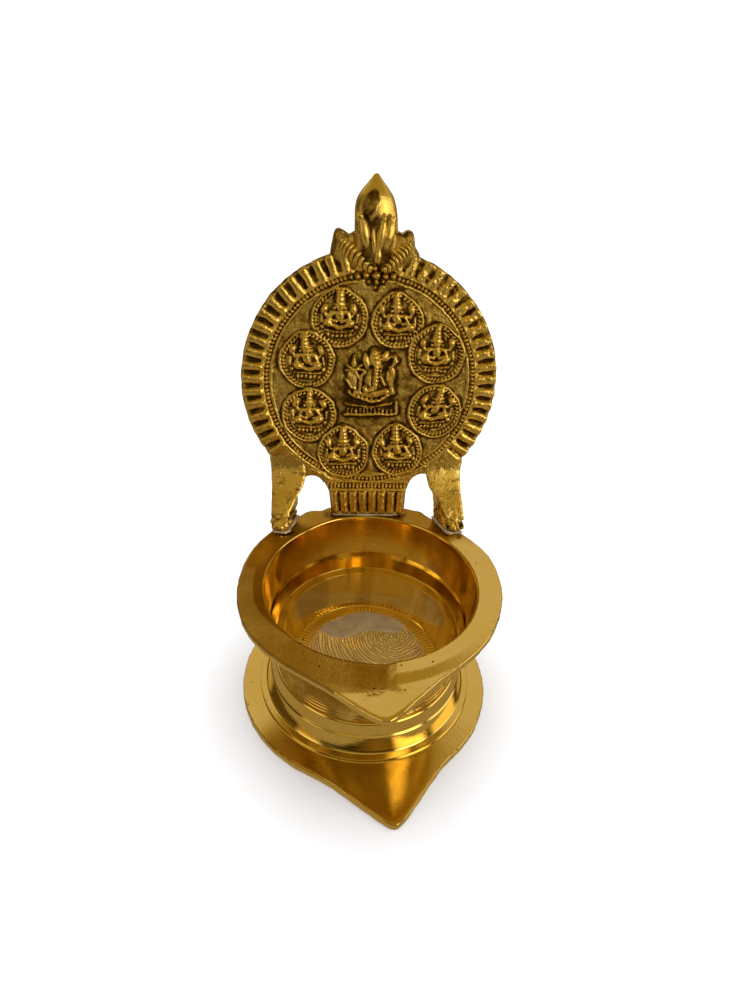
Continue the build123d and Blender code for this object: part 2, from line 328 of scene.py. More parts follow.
def turned_brass():
    """Lathe-turned and buffed brass. Attributes say where it is belt-brushed or swirled, and where dark
    reflections and shade are painted.
    """
    g = Graph(bpy.data.materials.new("turned_brass"))
    vector, r, angle, z = g.places()
    brushed = g.attribute("brushed")
    swirled = g.attribute("swirled")
    painted_dark = g.attribute("painted_dark")
    # Fine lines that run round the axis
    lines = g.noise(g.combine(g.times(r, 3.2), g.times(z, 3.2), g.times(angle, 0.9)), 1.0, 1.5, 0.5)
    # Belt marks that run outwards
    belt = g.noise(g.combine(g.times(angle, 55.0), g.times(r, 0.35)), 1.0, 3.0, 0.7, 0.3)
    # Grinder swirls: arcs about a place beside the axis, with residue in them
    shifted = g.node("VectorMath", {0: vector, 1: (-8.5, -7.0, 0.0)}, operation="ADD").outputs[0]
    sx, sy, _ = g.node("SeparateXYZ", {0: shifted}).outputs
    reach = g.math("SQRT", g.plus(g.times(sx, sx), g.times(sy, sy)))
    turn = g.math("ARCTAN2", sx, sy)
    swirl = g.noise(g.combine(g.times(reach, 0.35), g.times(turn, 1.1)), 1.0, 2.0, 0.5, 0.4)
    arcs = g.math("SINE", g.plus(g.times(reach, 8.4), g.times(swirl, 18.0)))
    swirl = g.plus(g.times(arcs, 0.5), g.noise(vector, 0.8, 2.0))
    residue = g.times(swirled, g.ramp(arcs, -0.9, 0.1, 0.8, 0.0))
    # Buffing haze and pits
    haze = g.noise(vector, 0.09, 4.0, 0.6)
    pits = g.node("TexVoronoi", {"Vector": vector, "Scale": 0.42}).outputs["Distance"]
    pit = g.ramp(pits, 0.05, 0.11, 1.0, 0.0)
    pit = g.times(pit, g.ramp(g.noise(vector, 0.21, 2.0), 0.50, 0.56))
    colour = g.mix(g.ramp(haze, 0.35, 0.7), BRASS, DEEP_BRASS)
    # Painted dark reflections and shade, broken up by the haze
    painted_dark_share = g.times(painted_dark, g.ramp(haze, 0.3, 0.6, 0.75, 1.0))
    colour = g.mix(painted_dark_share, colour, PAINTED_DARK_BROWN)
    colour = g.mix(g.times(residue, 0.8), colour, TARNISH_AND_SHADE)
    flux = g.attribute("flux")
    flux = g.times(flux, g.ramp(g.noise(vector, 0.8, 4.0, 0.6), 0.35, 0.62, 0.25, 1.0))
    colour = g.mix(flux, colour, SOOT_AND_SHADE)
    colour = g.mix(pit, colour, SOOT_AND_SHADE)
    roughness = g.ramp(g.noise(vector, 0.3, 5.0, 0.7), 0.3, 0.75, 0.06, 0.13)
    for worked, amount in ((brushed, 0.10), (swirled, 0.10), (painted_dark, 0.06), (flux, 0.25)):
        roughness = g.plus(roughness, g.times(worked, amount))
    # Turned ridges, fainter where the haze is thin
    ridges = g.math("SINE", g.plus(g.times(z, 8.2), g.times(haze, 3.0)))
    ridges = g.times(ridges, g.ramp(haze, 0.4, 0.62, 0.15, 1.0))
    normal = g.bump(lines, 0.014)
    marks = ((ridges, g.attribute("ridged"), 0.07), (belt, brushed, 0.24), (swirl, swirled, 0.24))
    for mark, seen_on, depth in marks:
        normal = g.bump(g.times(mark, seen_on), depth, normal)
    normal = g.bump(g.times(pit, -1.0), 0.15, normal)
    metallic = g.math("SUBTRACT", 1.0, g.times(swirled, 0.25))
    return g.finish(Base_Color=colour, Metallic=metallic, Roughness=roughness, Normal=normal)


def cast_brass():
    """Sand-cast brass, polished on its high points and dark in its recesses, as the attribute hollow says:
    patina there, and painted shade.
    """
    g = Graph(bpy.data.materials.new("cast_brass"))
    vector = g.places()[0]
    hollow = g.attribute("hollow")
    coarse = g.noise(vector, 0.45, 4.0, 0.6)
    grain = g.noise(vector, 2.6, 4.0, 0.65)
    # Patina and painted shade where hollow is high, with random tone from the coarse noise
    dark = g.math("ADD", hollow, g.ramp(coarse, 0.35, 0.75, -0.25, 0.25), clamp=True)
    colour = g.mix(g.ramp(coarse, 0.3, 0.7), BRASS, DEEP_BRASS)
    colour = g.mix(g.ramp(dark, 0.25, 0.85), colour, TARNISH_AND_SHADE)
    colour = g.mix(g.ramp(dark, 0.62, 1.0, 0.0, 0.85), colour, SOOT_AND_SHADE)
    roughness = g.ramp(dark, 0.2, 0.9, 0.13, 0.40)
    normal = g.bump(g.times(grain, g.ramp(dark, 0.1, 0.8, 0.45, 1.0)), 0.21)
    return g.finish(Base_Color=colour, Metallic=1.0, Roughness=roughness, Normal=normal)


def soft_solder():
    """Dull tin-lead solder, wiped smooth, with small dark specks."""
    g = Graph(bpy.data.materials.new("soft_solder"))
    vector = g.places()[0]
    cloud = g.noise(vector, 0.25, 5.0, 0.6)
    speck = g.noise(vector, 2.2, 2.0)
    colour = g.mix(g.ramp(cloud, 0.35, 0.7), (0.62, 0.53, 0.37, 1), (0.42, 0.33, 0.20, 1))
    colour = g.mix(g.ramp(speck, 0.66, 0.72, 0.0, 0.6), colour, (0.08, 0.06, 0.04, 1))
    normal = g.bump(g.noise(vector, 0.9, 5.0, 0.65), 0.10)
    roughness = g.ramp(cloud, 0.3, 0.7, 0.34, 0.5)
    return g.finish(Base_Color=colour, Metallic=0.75, Roughness=roughness, Normal=normal)


turned = turned_brass()
cast = cast_brass()
solder = soft_solder()


def signed_angle(angle):
    return (angle + pi) % (2 * pi) - pi


# ---- Oil cup ----
CUP_SEGMENTS = 640
CHATTER_TEETH = 107
SPOUT_TURN = radians(1.5)
SPOUT_APEX = 40.7  # where the spout's straight sides would meet
SPOUT_FLANK = radians(45.5)
SPOUT_ROUNDING = 0.05
# Hand-ground unevenness of the flange's outline: place in degrees from -Y, amount, width in degrees
FLANGE_UNEVEN = [(-65, 0.95, 16), (-84, 0.3, 9), (84, 0.3, 12), (108, 0.95, 14), (143, -0.6, 5)]
FLANGE_UNEVEN += [(152, 0.9, 4), (159, 0.5, 3), (-151, 0.7, 3.5), (-158, -0.8, 2.5)]


def drawn_point(angle, circle, apex, flank, rounding, blend):
    """Outer radius of a round outline drawn out to one rounded point at angle 0, with straight sides."""
    away = np.sqrt(signed_angle(angle) ** 2 + rounding**2)
    wedge = apex * sin(flank) / np.sin(np.minimum(flank + away, pi / 2))
    return smooth_max(circle, wedge, blend)


def flange_reach(angle):
    """Outer radius of the flange at an angle from -Y towards +X, spout included."""
    degrees = np.degrees(signed_angle(angle))
    circle = flange_r - 1.25
    for place, amount, width in FLANGE_UNEVEN:
        circle = circle + amount * bump_at(degrees, place, width)
    return drawn_point(angle - SPOUT_TURN, circle, SPOUT_APEX, SPOUT_FLANK, SPOUT_ROUNDING, 2.0)


def flange_drop(x, y):
    """Depth of the flange's top below the rim.

    Left of the wick channel's right side the top is ground down towards the front. Right of it only the
    outer edge is. Both end in the level tip."""
    r = np.hypot(x, y)
    degrees = np.degrees(np.arctan2(x, -y))
    ahead = -y * (y < 0)
    start = 27.3 - 2.1 * ease(-78, -50, degrees)
    depth = (0.4 + 1.0 * ease(-75, -35, degrees)) * ease(-112, -84, degrees)
    left = depth * np.clip((r - start) / (31.0 - start), 0, 1)
    wall = 3.9 - 0.19 * (ahead - 24.6)
    dip = np.clip(1 - (wall - x) / 8.0, 0, 1) ** 1.2 * (1 - ease(27.0, 32.0, ahead))
    left = left + 0.75 * dip
    right = 0.55 - 0.4 * ease(25, 60, degrees)
    right = right * np.clip((r - 28.3) / 2.2, 0, 1) * (degrees < 150)
    half = 1.3 + 4.0 * ease(29.5, 33.5, ahead)
    share = ease(-1, 1, (x - wall + 1.2) / half) * (y < 0) + (y >= 0) * (x > 0)
    leaning = 0.13 * np.clip(30.8 - r, 0, 5.6) * ease(-5, 5, -x - 12) * ease(-18, -10, y)
    return left * (1 - share) + right * share + leaning


def make_oil_cup():
    profile = rounded_profile([
        (0, floor_z, 0, 0.8),
        (floor_r, floor_z, 0.4, 0.9),
        (ledge_r, ledge_z, 0.10, 0.3),
        (ledge_out_r, ledge_out_z, 0.15, 0.4),
        (wall_r - 0.45, wall_z - 1.0, 0.2, 0.5),
        (wall_r, wall_z, 0.15, 1.0),
        (mouth_r, rim_z, 0.45, 0.26),
        (flange_r, rim_z, 0.45, 0.4),
        (flange_r, rim_z - flange_t, 0.45, 0.55),
        (bowl_r + 0.6, rim_z - flange_t, 0.5, 0.5),
        (bowl_r, bowl_z, 1.2, 0.6),
        (24.7, 23.2, 2.5, 0.6),
        (22.0, 17.6, 1.5, 0.5),
        (21.6, 14.6, 1.2, 0.5),
        (22.35, collar_z, 0.15, 0.8),
        (spigot_r, collar_z, 0.1, 1.5),
        (spigot_r, cup_under_z, 0.3, 2.5),
        (0, cup_under_z, 0, 1),
    ])
    r, z, angle, faces = lathe(profile, CUP_SEGMENTS)
    # Widen the flange out to its real outline, spout included
    share = np.clip((r - 26.6) / (flange_r - 26.6), 0, 1) * (z > bowl_z)
    hammered = 0.10 * noise(angle * 31, z * 0.4, 0 * z, 0.9, 3) * ease(0.8, 1, share)
    r = r + share * (flange_reach(angle) - flange_r + hammered)
    x, y = r * np.sin(angle), -r * np.cos(angle)
    near_top = np.where(z > rim_z - 0.6, 1, ease(bowl_z - 1.5, rim_z - flange_t, z))
    near_top = np.where((r <= mouth_r) & (z > wall_z - 0.5), ease(rim_z - 6, rim_z - 0.1, z), near_top)
    drop = flange_drop(x, y) * near_top
    # The keel under the spout is a little deeper along its middle
    keel = 0.9 * np.clip(1 - np.abs(x - 0.6) / 8, 0, 1)
    keel = keel * ease(22, 27, -y) * (1 - ease(30, 38, -y))
    under = (z < rim_z - flange_t + 0.3) & (z > bowl_z - 3) & (r > 25.5)
    drop = drop + np.where(under, keel, 0)
    wall_out = np.interp(z, [11, 17.6, 23.2, 30.4], [21.0, 21.4, 24.1, 25.8])
    ridged = (r > wall_out) & (z > collar_z - 0.1) & (z < bowl_z + 2.5)
    # Chatter teeth round the edge of the floor
    on_floor = (z < floor_z + 0.3) & (z > cup_under_z + 0.5)
    teeth = np.sin(angle * CHATTER_TEETH) * ease(15.2, 16.0, r) * (1 - ease(17.4, 18.2, r))
    drop = drop + np.where(on_floor, 0.15 * teeth - 0.14 * ease(14.6, 15.4, r), 0)
    z_new = z - drop
    # Where the belt, the grinder and the flame have been
    on_top = (z > rim_z - 0.7) & (r > mouth_r + 0.2)
    degrees = np.degrees(signed_angle(angle))
    band_start = 26.9 - 1.7 * ease(-78, -50, degrees)
    band = ease(band_start, band_start + 0.6, r) * ease(-104, -92, degrees)
    band = band * (1 - ease(2, 8, degrees))
    band = band + ease(28.2, 28.6, r) * (degrees > 5) * (degrees < 60) * 0.15
    level_tip = ease(31.0, 31.8, -y) * (np.abs(degrees) < 30)
    brushed = np.where(on_top, band * (1 - level_tip) + 0.04, 0.0)
    swirled = np.where(on_floor, 1 - ease(14.6, 15.2, r), 0.0)
    # Painted dark reflections: upright streaks on the wall and ledge, and a darker flange on the left and at
    # the back. Painted shade in the wick channel
    inside = (r <= mouth_r) & (z > floor_z + 0.3)
    streak = ease(0.10, 0.32, layered_noise(5 * np.sin(angle), 5 * np.cos(angle), z * 0.05, 1.0, 11))
    painted_dark = np.where(inside, 0.05 + 0.35 * streak, 0.0)
    on_ledge = (r > ledge_r + 0.1) & (r < wall_r - 0.05) & (z < wall_z - 0.45) & inside
    painted_dark = np.where(on_ledge, 0.15 + 0.3 * streak, painted_dark)
    painted_dark_left = ease(-150, -125, degrees) * (1 - ease(-14, -6, degrees)) * (1 - level_tip)
    channel = ease(-26, -8, degrees) * (1 - ease(1.0, 4.6, x)) * (1 - level_tip) * (y < 0)
    behind = ease(13, 19, y)
    painted_dark = np.where(on_top, np.maximum.reduce([0.85 * painted_dark_left, channel, 0.95 * behind]), painted_dark)
    # Burnt flux round the soldered feet and along the stem
    from_feet = np.minimum(np.hypot(x + 21.0, y - 20.6), np.hypot(x - 21.8, y - 20.6)) - 2.6
    from_stem = np.hypot(np.clip(np.abs(x) - 9.0, 0, None), y - 26.2) - 0.5
    flux = (1 - ease(0.0, 2.4, np.minimum(from_feet, from_stem))) * on_top
    points = turned_points(r, z_new, angle, profile)
    marks = {"brushed": brushed, "painted_dark": painted_dark, "ridged": ridged, "flux": flux}
    marks = {key: with_axis(values) for key, values in marks.items()}
    marks["swirled"] = with_axis(swirled, 1.0)
    new_piece("oil_cup_shell", points, faces, turned, "turned_brass", ["oil_cup"], **marks)


# ---- Pedestal ----
PEDESTAL_SEGMENTS = 600
NOSE_TURN = radians(6.5)
NOSE_APEX = 43.4
NOSE_FLANK = radians(42)
NOSE_ROUNDING = 0.04


def brim_reach(angle):
    """Outer radius of the brim at an angle from -Y towards +X, nose included."""
    return drawn_point(angle - NOSE_TURN, brim_r - 0.7, NOSE_APEX, NOSE_FLANK, NOSE_ROUNDING, 1.3)


def make_pedestal():
    profile = rounded_profile([
        (0, cup_under_z, 0, 2.5),
        (spigot_r, cup_under_z, 0.1, 1.5),
        (spigot_r, collar_z, 0.1, 0.6),
        (22.6, collar_z, 0.12, 0.3),
        (22.85, collar_z - 0.3, 0.15, 0.4),
        (23.72, 8.85, 0.05, 0.12),
        (23.5, 8.5, 0.05, 0.12),
        (23.88, 8.15, 0.08, 0.4),
        (24.85, 4.35, 0.12, 0.2),
        (25.15, 3.95, 0.10, 0.3),
        (ring_r, ring_z, 0.12, 0.2),
        (ring_r, ring_z - 0.6, 0.08, 0.15),
        (26.95, ring_z - 0.75, 0.08, 0.35),
        (brim_r, 2.0, 0.35, 0.4),
        (brim_r, 0, 0.2, 0.8),
        (21.8, 0, 0.2, 1.0),
        (20.6, 5.25, 0.8, 2.5),
        (0, 5.25, 0, 1),
    ])
    r, z, angle, faces = lathe(profile, PEDESTAL_SEGMENTS)
    share = np.clip((r - 27.2) / (brim_r - 27.2), 0, 1) * (z < ring_z)
    cast_edge = 0.10 * noise(angle * 30, z * 0.5, 0 * z, 1.1, 7) * ease(0.85, 1, share)
    r = r + share * (brim_reach(angle) - brim_r + cast_edge)
    degrees = np.degrees(signed_angle(angle))
    on_brim = (z < ring_z - 0.5) & (z > 1.3) & (r > ring_r + 0.3)
    in_nose = bump_at(degrees, 6.5, 26)
    brushed = np.where(on_brim, 0.05 * in_nose + 0.25 * bump_at(degrees, 52, 18), 0.0)
    # Painted dark reflection on the front of the brim and its nose
    painted_dark_front = ease(-60, -46, degrees) * (1 - ease(20, 42, degrees))
    painted_dark = np.where(on_brim, painted_dark_front * (0.85 - 0.40 * ease(-30, -8, degrees)), 0.0)
    points = turned_points(r, z, angle, profile)
    marks = {"brushed": with_axis(brushed), "painted_dark": with_axis(painted_dark)}
    new_piece("pedestal_shell", points, faces, turned, "pedestal_brass", ["pedestal_base"], **marks)


make_oil_cup()
make_pedestal()


# ---- Relief of the back plate ----
def mound(rest):
    """Rounded height where rest, 1 in the middle and 0 at the outline, is above zero."""
    return np.clip(rest, 0, None) ** 0.6


def dome(x, u, centre_x, centre_u, half_x, half_u, height, tilt=0.0):
    """Rounded bump with an elliptical outline."""
    dx, du = x - centre_x, u - centre_u
    if tilt:
        c, s = cos(radians(tilt)), sin(radians(tilt))
        dx, du = dx * c + du * s, -dx * s + du * c
    return height * mound(1 - (dx / half_x) ** 2 - (du / half_u) ** 2)


def stroke(x, u, points, half_width, height):
    """Rounded bar along a few points."""
    nearest = np.full(x.shape, 1e9)
    for (ax, au), (bx, bu) in zip(points, points[1:]):
        dx, du = bx - ax, bu - au
        share = np.clip(((x - ax) * dx + (u - au) * du) / (dx * dx + du * du), 0, 1)
        nearest = np.minimum(nearest, np.hypot(x - ax - share * dx, u - au - share * du))
    return height * mound(1 - (nearest / half_width) ** 2)


def ring(reach, radius, half_width, height):
    return height * mound(1 - ((reach - radius) / half_width) ** 2)


def bead_ring(x, u, radius, count, along, across, height):
    """Ring of oval beads, along and across the ring in size."""
    turn = np.arctan2(x, u) / (2 * pi) * count
    from_bead = (turn - np.round(turn)) * 2 * pi * radius / count
    return height * mound(1 - (from_bead / along) ** 2 - ((np.hypot(x, u) - radius) / across) ** 2)


def tapered(x, u, base, top, height):
    """Rounded upright spike. base and top are (x, u, half width)."""
    share = np.clip((u - base[1]) / (top[1] - base[1]), 0, 1)
    middle = base[0] + (top[0] - base[0]) * share
    half = base[2] + (top[2] - base[2]) * share
    beyond = np.maximum(base[1] - u, u - top[1]).clip(0)
    return height * mound(1 - ((x - middle) / half) ** 2 - (beyond / half) ** 2)


def seated_figure(x, u, seed, crown_x, crown_top):
    """Crowned figure seated cross-legged on a lotus, arms out with buds. x, u from the medallion's centre."""
    rng = np.random.default_rng(seed)
    sway = rng.uniform(-1, 1, 24)
    lean_over = crown_x / crown_top
    x = x - lean_over * u
    size = 1 + 0.07 * sway[0]
    parts = []

    def bar(points, half_width, height):
        parts.append(stroke(x, u, points, half_width, height))

    def knob(*place):
        parts.append(dome(x, u, *place))

    # Mitre with bands, face, ears and collar
    crown = tapered(x, u, (0, 3.4, 1.25 * size), (0.2 * sway[1], crown_top - 1.3, 0.95), 1.6)
    crown = crown + 0.10 * np.cos(2 * pi * (u - 3.5) / 0.9) * (crown > 0.5)
    parts.append(crown)
    knob(0.1 * sway[2], 2.75, 1.0 * size, 1.05, 1.5)
    bar([(-1.35, 3.5), (1.35, 3.5)], 0.3, 1.35)
    knob(-1.25, 2.5, 0.42, 0.5, 1.1)
    knob(1.25, 2.5, 0.42, 0.5, 1.1)
    knob(0, 0.9, 1.25 * size, 1.7, 1.2)
    bar([(-2.0, 1.5), (2.0, 1.5)], 0.55, 1.1)
    for side, first in ((-1, 3), (1, 10)):
        lift = 0.45 * sway[first]
        out = 3.35 + 0.25 * sway[first + 1]
        raised = [(side * 1.9, 1.5), (side * (out - 0.5), 1.0 + lift), (side * out, 2.0 + lift)]
        bar(raised, 0.45, 0.85)
        knob(side * out, 2.7 + lift, 0.95, 1.35, 1.25, side * (12 + 20 * sway[first + 2]))
        elbow = 2.6 + 0.3 * sway[first + 3]
        resting = [(side * 1.7, 1.4), (side * elbow, 0.0), (side * (0.9 + 0.5 * sway[first + 4]), -0.6)]
        bar(resting, 0.48, 1.2)
        knee = 2.7 + 0.3 * sway[first + 5]
        knob(side * knee, -0.95, 1.35, 1.1, 1.5, side * 14)
        bar([(side * knee, -1.15), (side * -0.3, -1.95)], 0.58, 1.2)
        bar([(side * 4.1, 1.0), (side * 4.15, -0.9)], 0.3, 0.55)
        knob(side * 3.9, -1.9, 0.5, 0.6, 0.7)
    bar([(-3.1, -2.75), (0.4 * sway[17], -2.9), (3.1, -2.7)], 0.27, 0.95)
    for k in range(6):
        knob(-2.55 + 1.02 * k, -3.75 + 0.12 * sway[18 + k % 5], 0.43, 0.55, 0.95)
    return np.maximum.reduce(parts)


# The figure in the middle, x and u from the disc's centre. Bars: half width, height, points
ELEPHANT_BARS = [
    # Trunk and limbs
    (0.75, 1.95, [(1.1, 5.2), (1.2, 3.0), (1.3, 0.8), (1.1, -0.9), (0.3, -1.7), (-0.8, -1.9), (-1.3, -1.2)]),
    (0.4, 1.2, [(-0.2, 1.4), (-0.3, 0.0), (0.1, -0.8)]),
    (0.5, 1.2, [(-1.2, 2.6), (-2.2, 1.4), (-2.5, -0.4), (-2.4, -2.2)]),
    (0.42, 1.25, [(2.4, 1.6), (3.0, 0.4), (3.5, -0.5)]),
    (0.35, 0.9, [(2.2, 5.6), (2.6, 4.0), (2.3, 2.6)]),
    # Left attendant
    (0.42, 1.15, [(-3.3, 2.6), (-2.5, 0.8), (-2.3, -0.8)]),
    (0.38, 0.9, [(-5.4, 0.6), (-4.5, -0.9), (-3.6, -1.2)]),
    # Right attendant, a bent figure
    (0.68, 1.5, [(5.3, 6.4), (5.7, 5.2), (4.6, 3.9), (5.3, 2.7), (5.1, 1.0), (5.0, -1.2), (5.2, -2.2)]),
    (0.35, 0.9, [(3.6, 5.6), (4.4, 6.5), (5.2, 6.6)]),
    # Seat behind the limbs
    (0.85, 1.15, [(-3.4, -2.2), (0.2, -2.9), (3.8, -2.0)]),
]
# Bands of the crown, folds of the trunk and the left attendant's hands
ELEPHANT_BARS += [(0.33, 1.95, [(0.55, 7.7 - 0.85 * k), (2.1, 7.5 - 0.85 * k)]) for k in range(5)]
ELEPHANT_BARS += [(0.24, 2.2, [(0.75, 4.0 - 0.8 * k), (1.85, 3.9 - 0.8 * k)]) for k in range(6)]
HAND_TIPS = [(-5.3, 4.0), (-5.6, 2.9), (-5.0, 1.4), (-2.1, 4.1), (-1.7, 3.0)]
ELEPHANT_BARS += [(0.34, 0.95, [(-3.6, 3.2), tip]) for tip in HAND_TIPS]
# Domes: centre, half sizes, height, tilt. The first two are ears, the last three are bodies
ELEPHANT_DOMES = [
    (-1.0, 4.9, 0.85, 2.2, 1.15, 10), (3.0, 6.3, 0.8, 1.5, 1.2, -28), (-3.8, 4.3, 0.7, 0.7, 1.2),
    (-4.7, 1.9, 0.75, 1.1, 1.05), (5.1, 0.6, 0.6, 1.2, 1.5),
    (0.6, 0.6, 2.6, 3.2, 0.95), (-4.0, 0.9, 1.3, 3.0, 0.85), (4.8, 1.2, 1.2, 3.4, 0.85),
]
LOTUS = [(-5.0, -2.3), (-3.2, -3.5), (-1.5, -4.0), (0.4, -4.5), (2.4, -4.1), (4.2, -2.9), (5.2, -2.0)]


def elephant_figure(x, u):
    """Elephant-headed seated figure between two attendants, on a lotus and a toothed plinth."""
    parts = [stroke(x, u, points, half, height) for half, height, points in ELEPHANT_BARS]
    parts += [dome(x, u, *place) for place in ELEPHANT_DOMES]
    parts.append(tapered(x, u, (1.0, 5.2, 1.75), (0.7, 7.4, 1.0), 1.6))
    parts.append(tapered(x, u, (-3.8, 4.8, 0.85), (-3.9, 6.3, 0.35), 1.15))
    parts.append(stroke(x, u, LOTUS, 0.5, 0.85))
    for k, (px, pu) in enumerate(curve_through(LOTUS, 11)):
        parts.append(dome(x, u, px, pu + 0.25, 0.5, 0.62, 1.45 if k < 7 else 1.0))
    figure = np.maximum.reduce(parts)
    figure = figure - 0.55 * stroke(x, u, [(-5.0, -3.6), (-2.8, -4.7)], 0.42, 1.0)
    figure = figure - 0.60 * stroke(x, u, [(2.6, -4.9), (4.6, -3.7)], 0.55, 1.0)
    # Plinth with its teeth
    parts = [figure, stroke(x, u, [(-5.4, -5.1), (-0.6, -6.0), (1.0, -5.9), (5.0, -4.8)], 0.30, 1.0)]
    for k in range(12):
        parts.append(tapered(x, u, (-5.0 + 0.92 * k, -7.2, 0.30), (-5.0 + 0.92 * k, -6.5, 0.26), 1.05))
    parts.append(stroke(x, u, [(-5.6, -7.9), (6.2, -7.7)], 0.38, 0.85))
    parts.append(stroke(x, u, [(6.3, -4.6), (6.3, -7.4)], 0.4, 0.7))
    return np.maximum.reduce(parts)


# Medallions: centre x and v, radius, and where the crown's tip is from the centre
MEDALLIONS = [
    (-7.9, 15.1, 6.80, 0.0, 7.5), (5.9, 14.7, 6.30, -0.7, 7.8), (-15.5, 4.9, 6.75, -0.7, 7.6),
    (15.8, 7.0, 7.05, 0.1, 8.0), (-14.8, -8.6, 6.75, 0.1, 7.0), (16.4, -7.1, 6.75, 1.6, 6.9),
    (-6.2, -18.5, 6.50, 0.0, 8.0), (7.6, -17.8, 6.45, -1.1, 8.0),
]
FLUTES = 57
FLUTE_START = -93.65  # degrees, a scoop's middle
STEM_TOP = 9.3 - disc_u
# Beads of the knot under the leaves: x, v and size
KNOT = [(0.4, 25.3, 1.15), (-1.9, 25.3, 0.9), (-3.9, 25.0, 0.8), (2.6, 25.1, 0.8), (4.4, 25.2, 0.75)]
KNOT += [(0.5, 23.7, 0.7), (-1.2, 23.9, 0.55), (2.0, 24.0, 0.5), (0.2, 22.6, 0.5), (-5.4, 24.7, 0.5)]
KNOT += [(0.0, 27.0, 0.8)]


def medallion(x, v, field, index):
    """A beaded oval with a seated figure on a sunk ground, laid over the field's height."""
    _, _, radius, crown_x, crown_top = MEDALLIONS[index]
    reach = np.hypot(x, v)
    from_tip = np.arctan2(x, v) - np.arctan2(crown_x, crown_top)
    tip_reach = np.hypot(crown_x, crown_top)
    edge = radius + 0.7 * max(tip_reach - radius, 0.0) * np.exp(-((from_tip / 0.42) ** 2))
    inward = edge - reach
    height = field - 0.42 * bump_at(inward, -0.35, 0.32)
    ground = np.maximum(-0.42, field * 0.4 - 0.42 * ease(0.25, 0.9, inward))
    height = np.where(inward > 0.25, ground, height)
    height = np.maximum(height, ring(inward, 0.28, 0.34, 0.62))
    count = round(2 * pi * (radius - 1.0) / 0.93)
    turn = np.arctan2(x, v) / (2 * pi) * count + 0.5 * inward
    from_bead = (turn - np.round(turn)) * 0.93
    beads = 0.88 * mound(1 - (from_bead / 0.40) ** 2 - ((inward - 1.05) / 0.47) ** 2)
    height = np.maximum(height, beads)
    height = np.maximum(height, ring(inward, 1.85, 0.20, 0.12))
    return np.maximum(height, seated_figure(x, v, 40 + index, crown_x, crown_top) - 0.18)


def plate_height(x, v):
    """Relief of the disc above its field. x and v are measured from the disc's centre."""
    wander = 0.20 * noise(x, v, 0 * x, 2.3, 22) + 0.09 * noise(x, v, 0 * x, 0.9, 23)
    stray = 0.20 * noise(x, v, 0 * x, 2.3, 24) + 0.09 * noise(x, v, 0 * x, 0.9, 25)
    reach = np.hypot(x, v) + 0.5 * wander
    turn = np.degrees(np.arctan2(x, -v))  # from the foot towards +X
    h = np.maximum(0.16 * layered_noise(x, v, 0 * x, 3.0, 20, 3), -0.1)
    h = h - 0.12 * bump_at(np.hypot(x, v), 0, 11)
    # Thin line, bead ring and plain ring
    h = np.maximum(h, ring(reach, 24.25, 0.32, 0.5))
    h = np.maximum(h, bead_ring(x, v, 25.25, 162, 0.42, 0.50, 0.85))
    h = np.maximum(h, ring(reach, 26.1, 0.34, 0.62))
    ridge_top = 0.5 * ease(26.2, 26.6, reach)
    # Scoops between the flutes, deep and crisp except where they are worn at the upper right
    worn = bump_at(turn, 140, 42)
    place = (turn - FLUTE_START) / 360 * FLUTES + 0.06 * wander * 5
    off = (place - np.round(place)) * 2 * pi * reach / FLUTES
    half = (0.72 - 0.12 * worn) * (0.62 + 0.38 * ease(26.4, 29.5, reach))
    scoop = np.clip(1 - (off / half) ** 2, 0, None) ** 0.8
    scoop = scoop * ease(26.35, 27.2, reach) * (1 - 0.45 * ease(29.6, 31.2, reach))
    crown_line = 0.42 * mound(1 - ((1.57 - np.abs(off)) / 0.95) ** 2)
    scoop = (0.80 - 0.20 * worn) * scoop
    rough = 0.20 * worn * layered_noise(x, v, 0 * x, 0.8, 26, 3)
    scooped = ease(49, 53, np.abs(turn))
    h = np.maximum(h, ridge_top) + scooped * (reach > 26.2) * (crown_line - scoop + rough)
    h = h - 0.5 * ease(disc_r - 0.45, disc_r + 0.1, reach) ** 2
    # Medallions, the figure in the middle and the knot
    for index, (cx, cv, radius, _, _) in enumerate(MEDALLIONS):
        near = np.hypot(x - cx, v - cv) < radius + 2.2
        if near.any():
            h[near] = medallion((x - cx + wander)[near], (v - cv + stray)[near], h[near], index)
    near = (np.abs(x) < 8) & (np.abs(v) < 10)
    if near.any():
        figure = elephant_figure((x + wander)[near] * 0.95, (v + stray)[near] * 0.97)
        h[near] = np.maximum(h[near] - 0.05, figure)
    for bx, bv, size in KNOT:
        near = np.hypot(x - bx, v - bv) < size + 0.6
        from_bead = np.hypot(x[near] - bx, v[near] - bv)
        sunk = h[near] - 0.5 * bump_at(from_bead, size + 0.15, 0.3)
        h[near] = np.maximum(sunk, dome(x[near], v[near], bx, bv, size, size, 1.75 * size**0.5))
    return h


def soften(height, passes=1):
    """Light blur of a grid of heights, as a mould and polishing leave it."""
    for _ in range(passes):
        padded = np.pad(height, 1, mode="edge")
        across = (padded[1:-1, :-2] + 2 * padded[1:-1, 1:-1] + padded[1:-1, 2:]) / 4
        padded = np.pad(across, 1, mode="edge")
        height = (padded[:-2, 1:-1] + 2 * padded[1:-1, 1:-1] + padded[2:, 1:-1]) / 4
    return height


def hollow_of(height, passes=14):
    """How much lower each place is than what is round it, from 0 to 1; it sets the patina and painted shade
    of recesses.
    """
    lower = soften(height, passes) - height
    return np.clip(0.46 + lower * 3.4 - height * 0.34, 0, 1)


def cast_grain(x, u, n, amount=0.05):
    return amount * layered_noise(x, u, n, 0.9, 60, 3)


FIELD_R = 24.0  # where the field meets the border piece


def cast_piece(name, points, faces, hollow, sharp_angle=70):
    """A piece of the back plate's one casting."""
    new_piece(name, points, faces, cast, "cast_brass", ["back_plate"], sharp_angle, hollow=hollow)


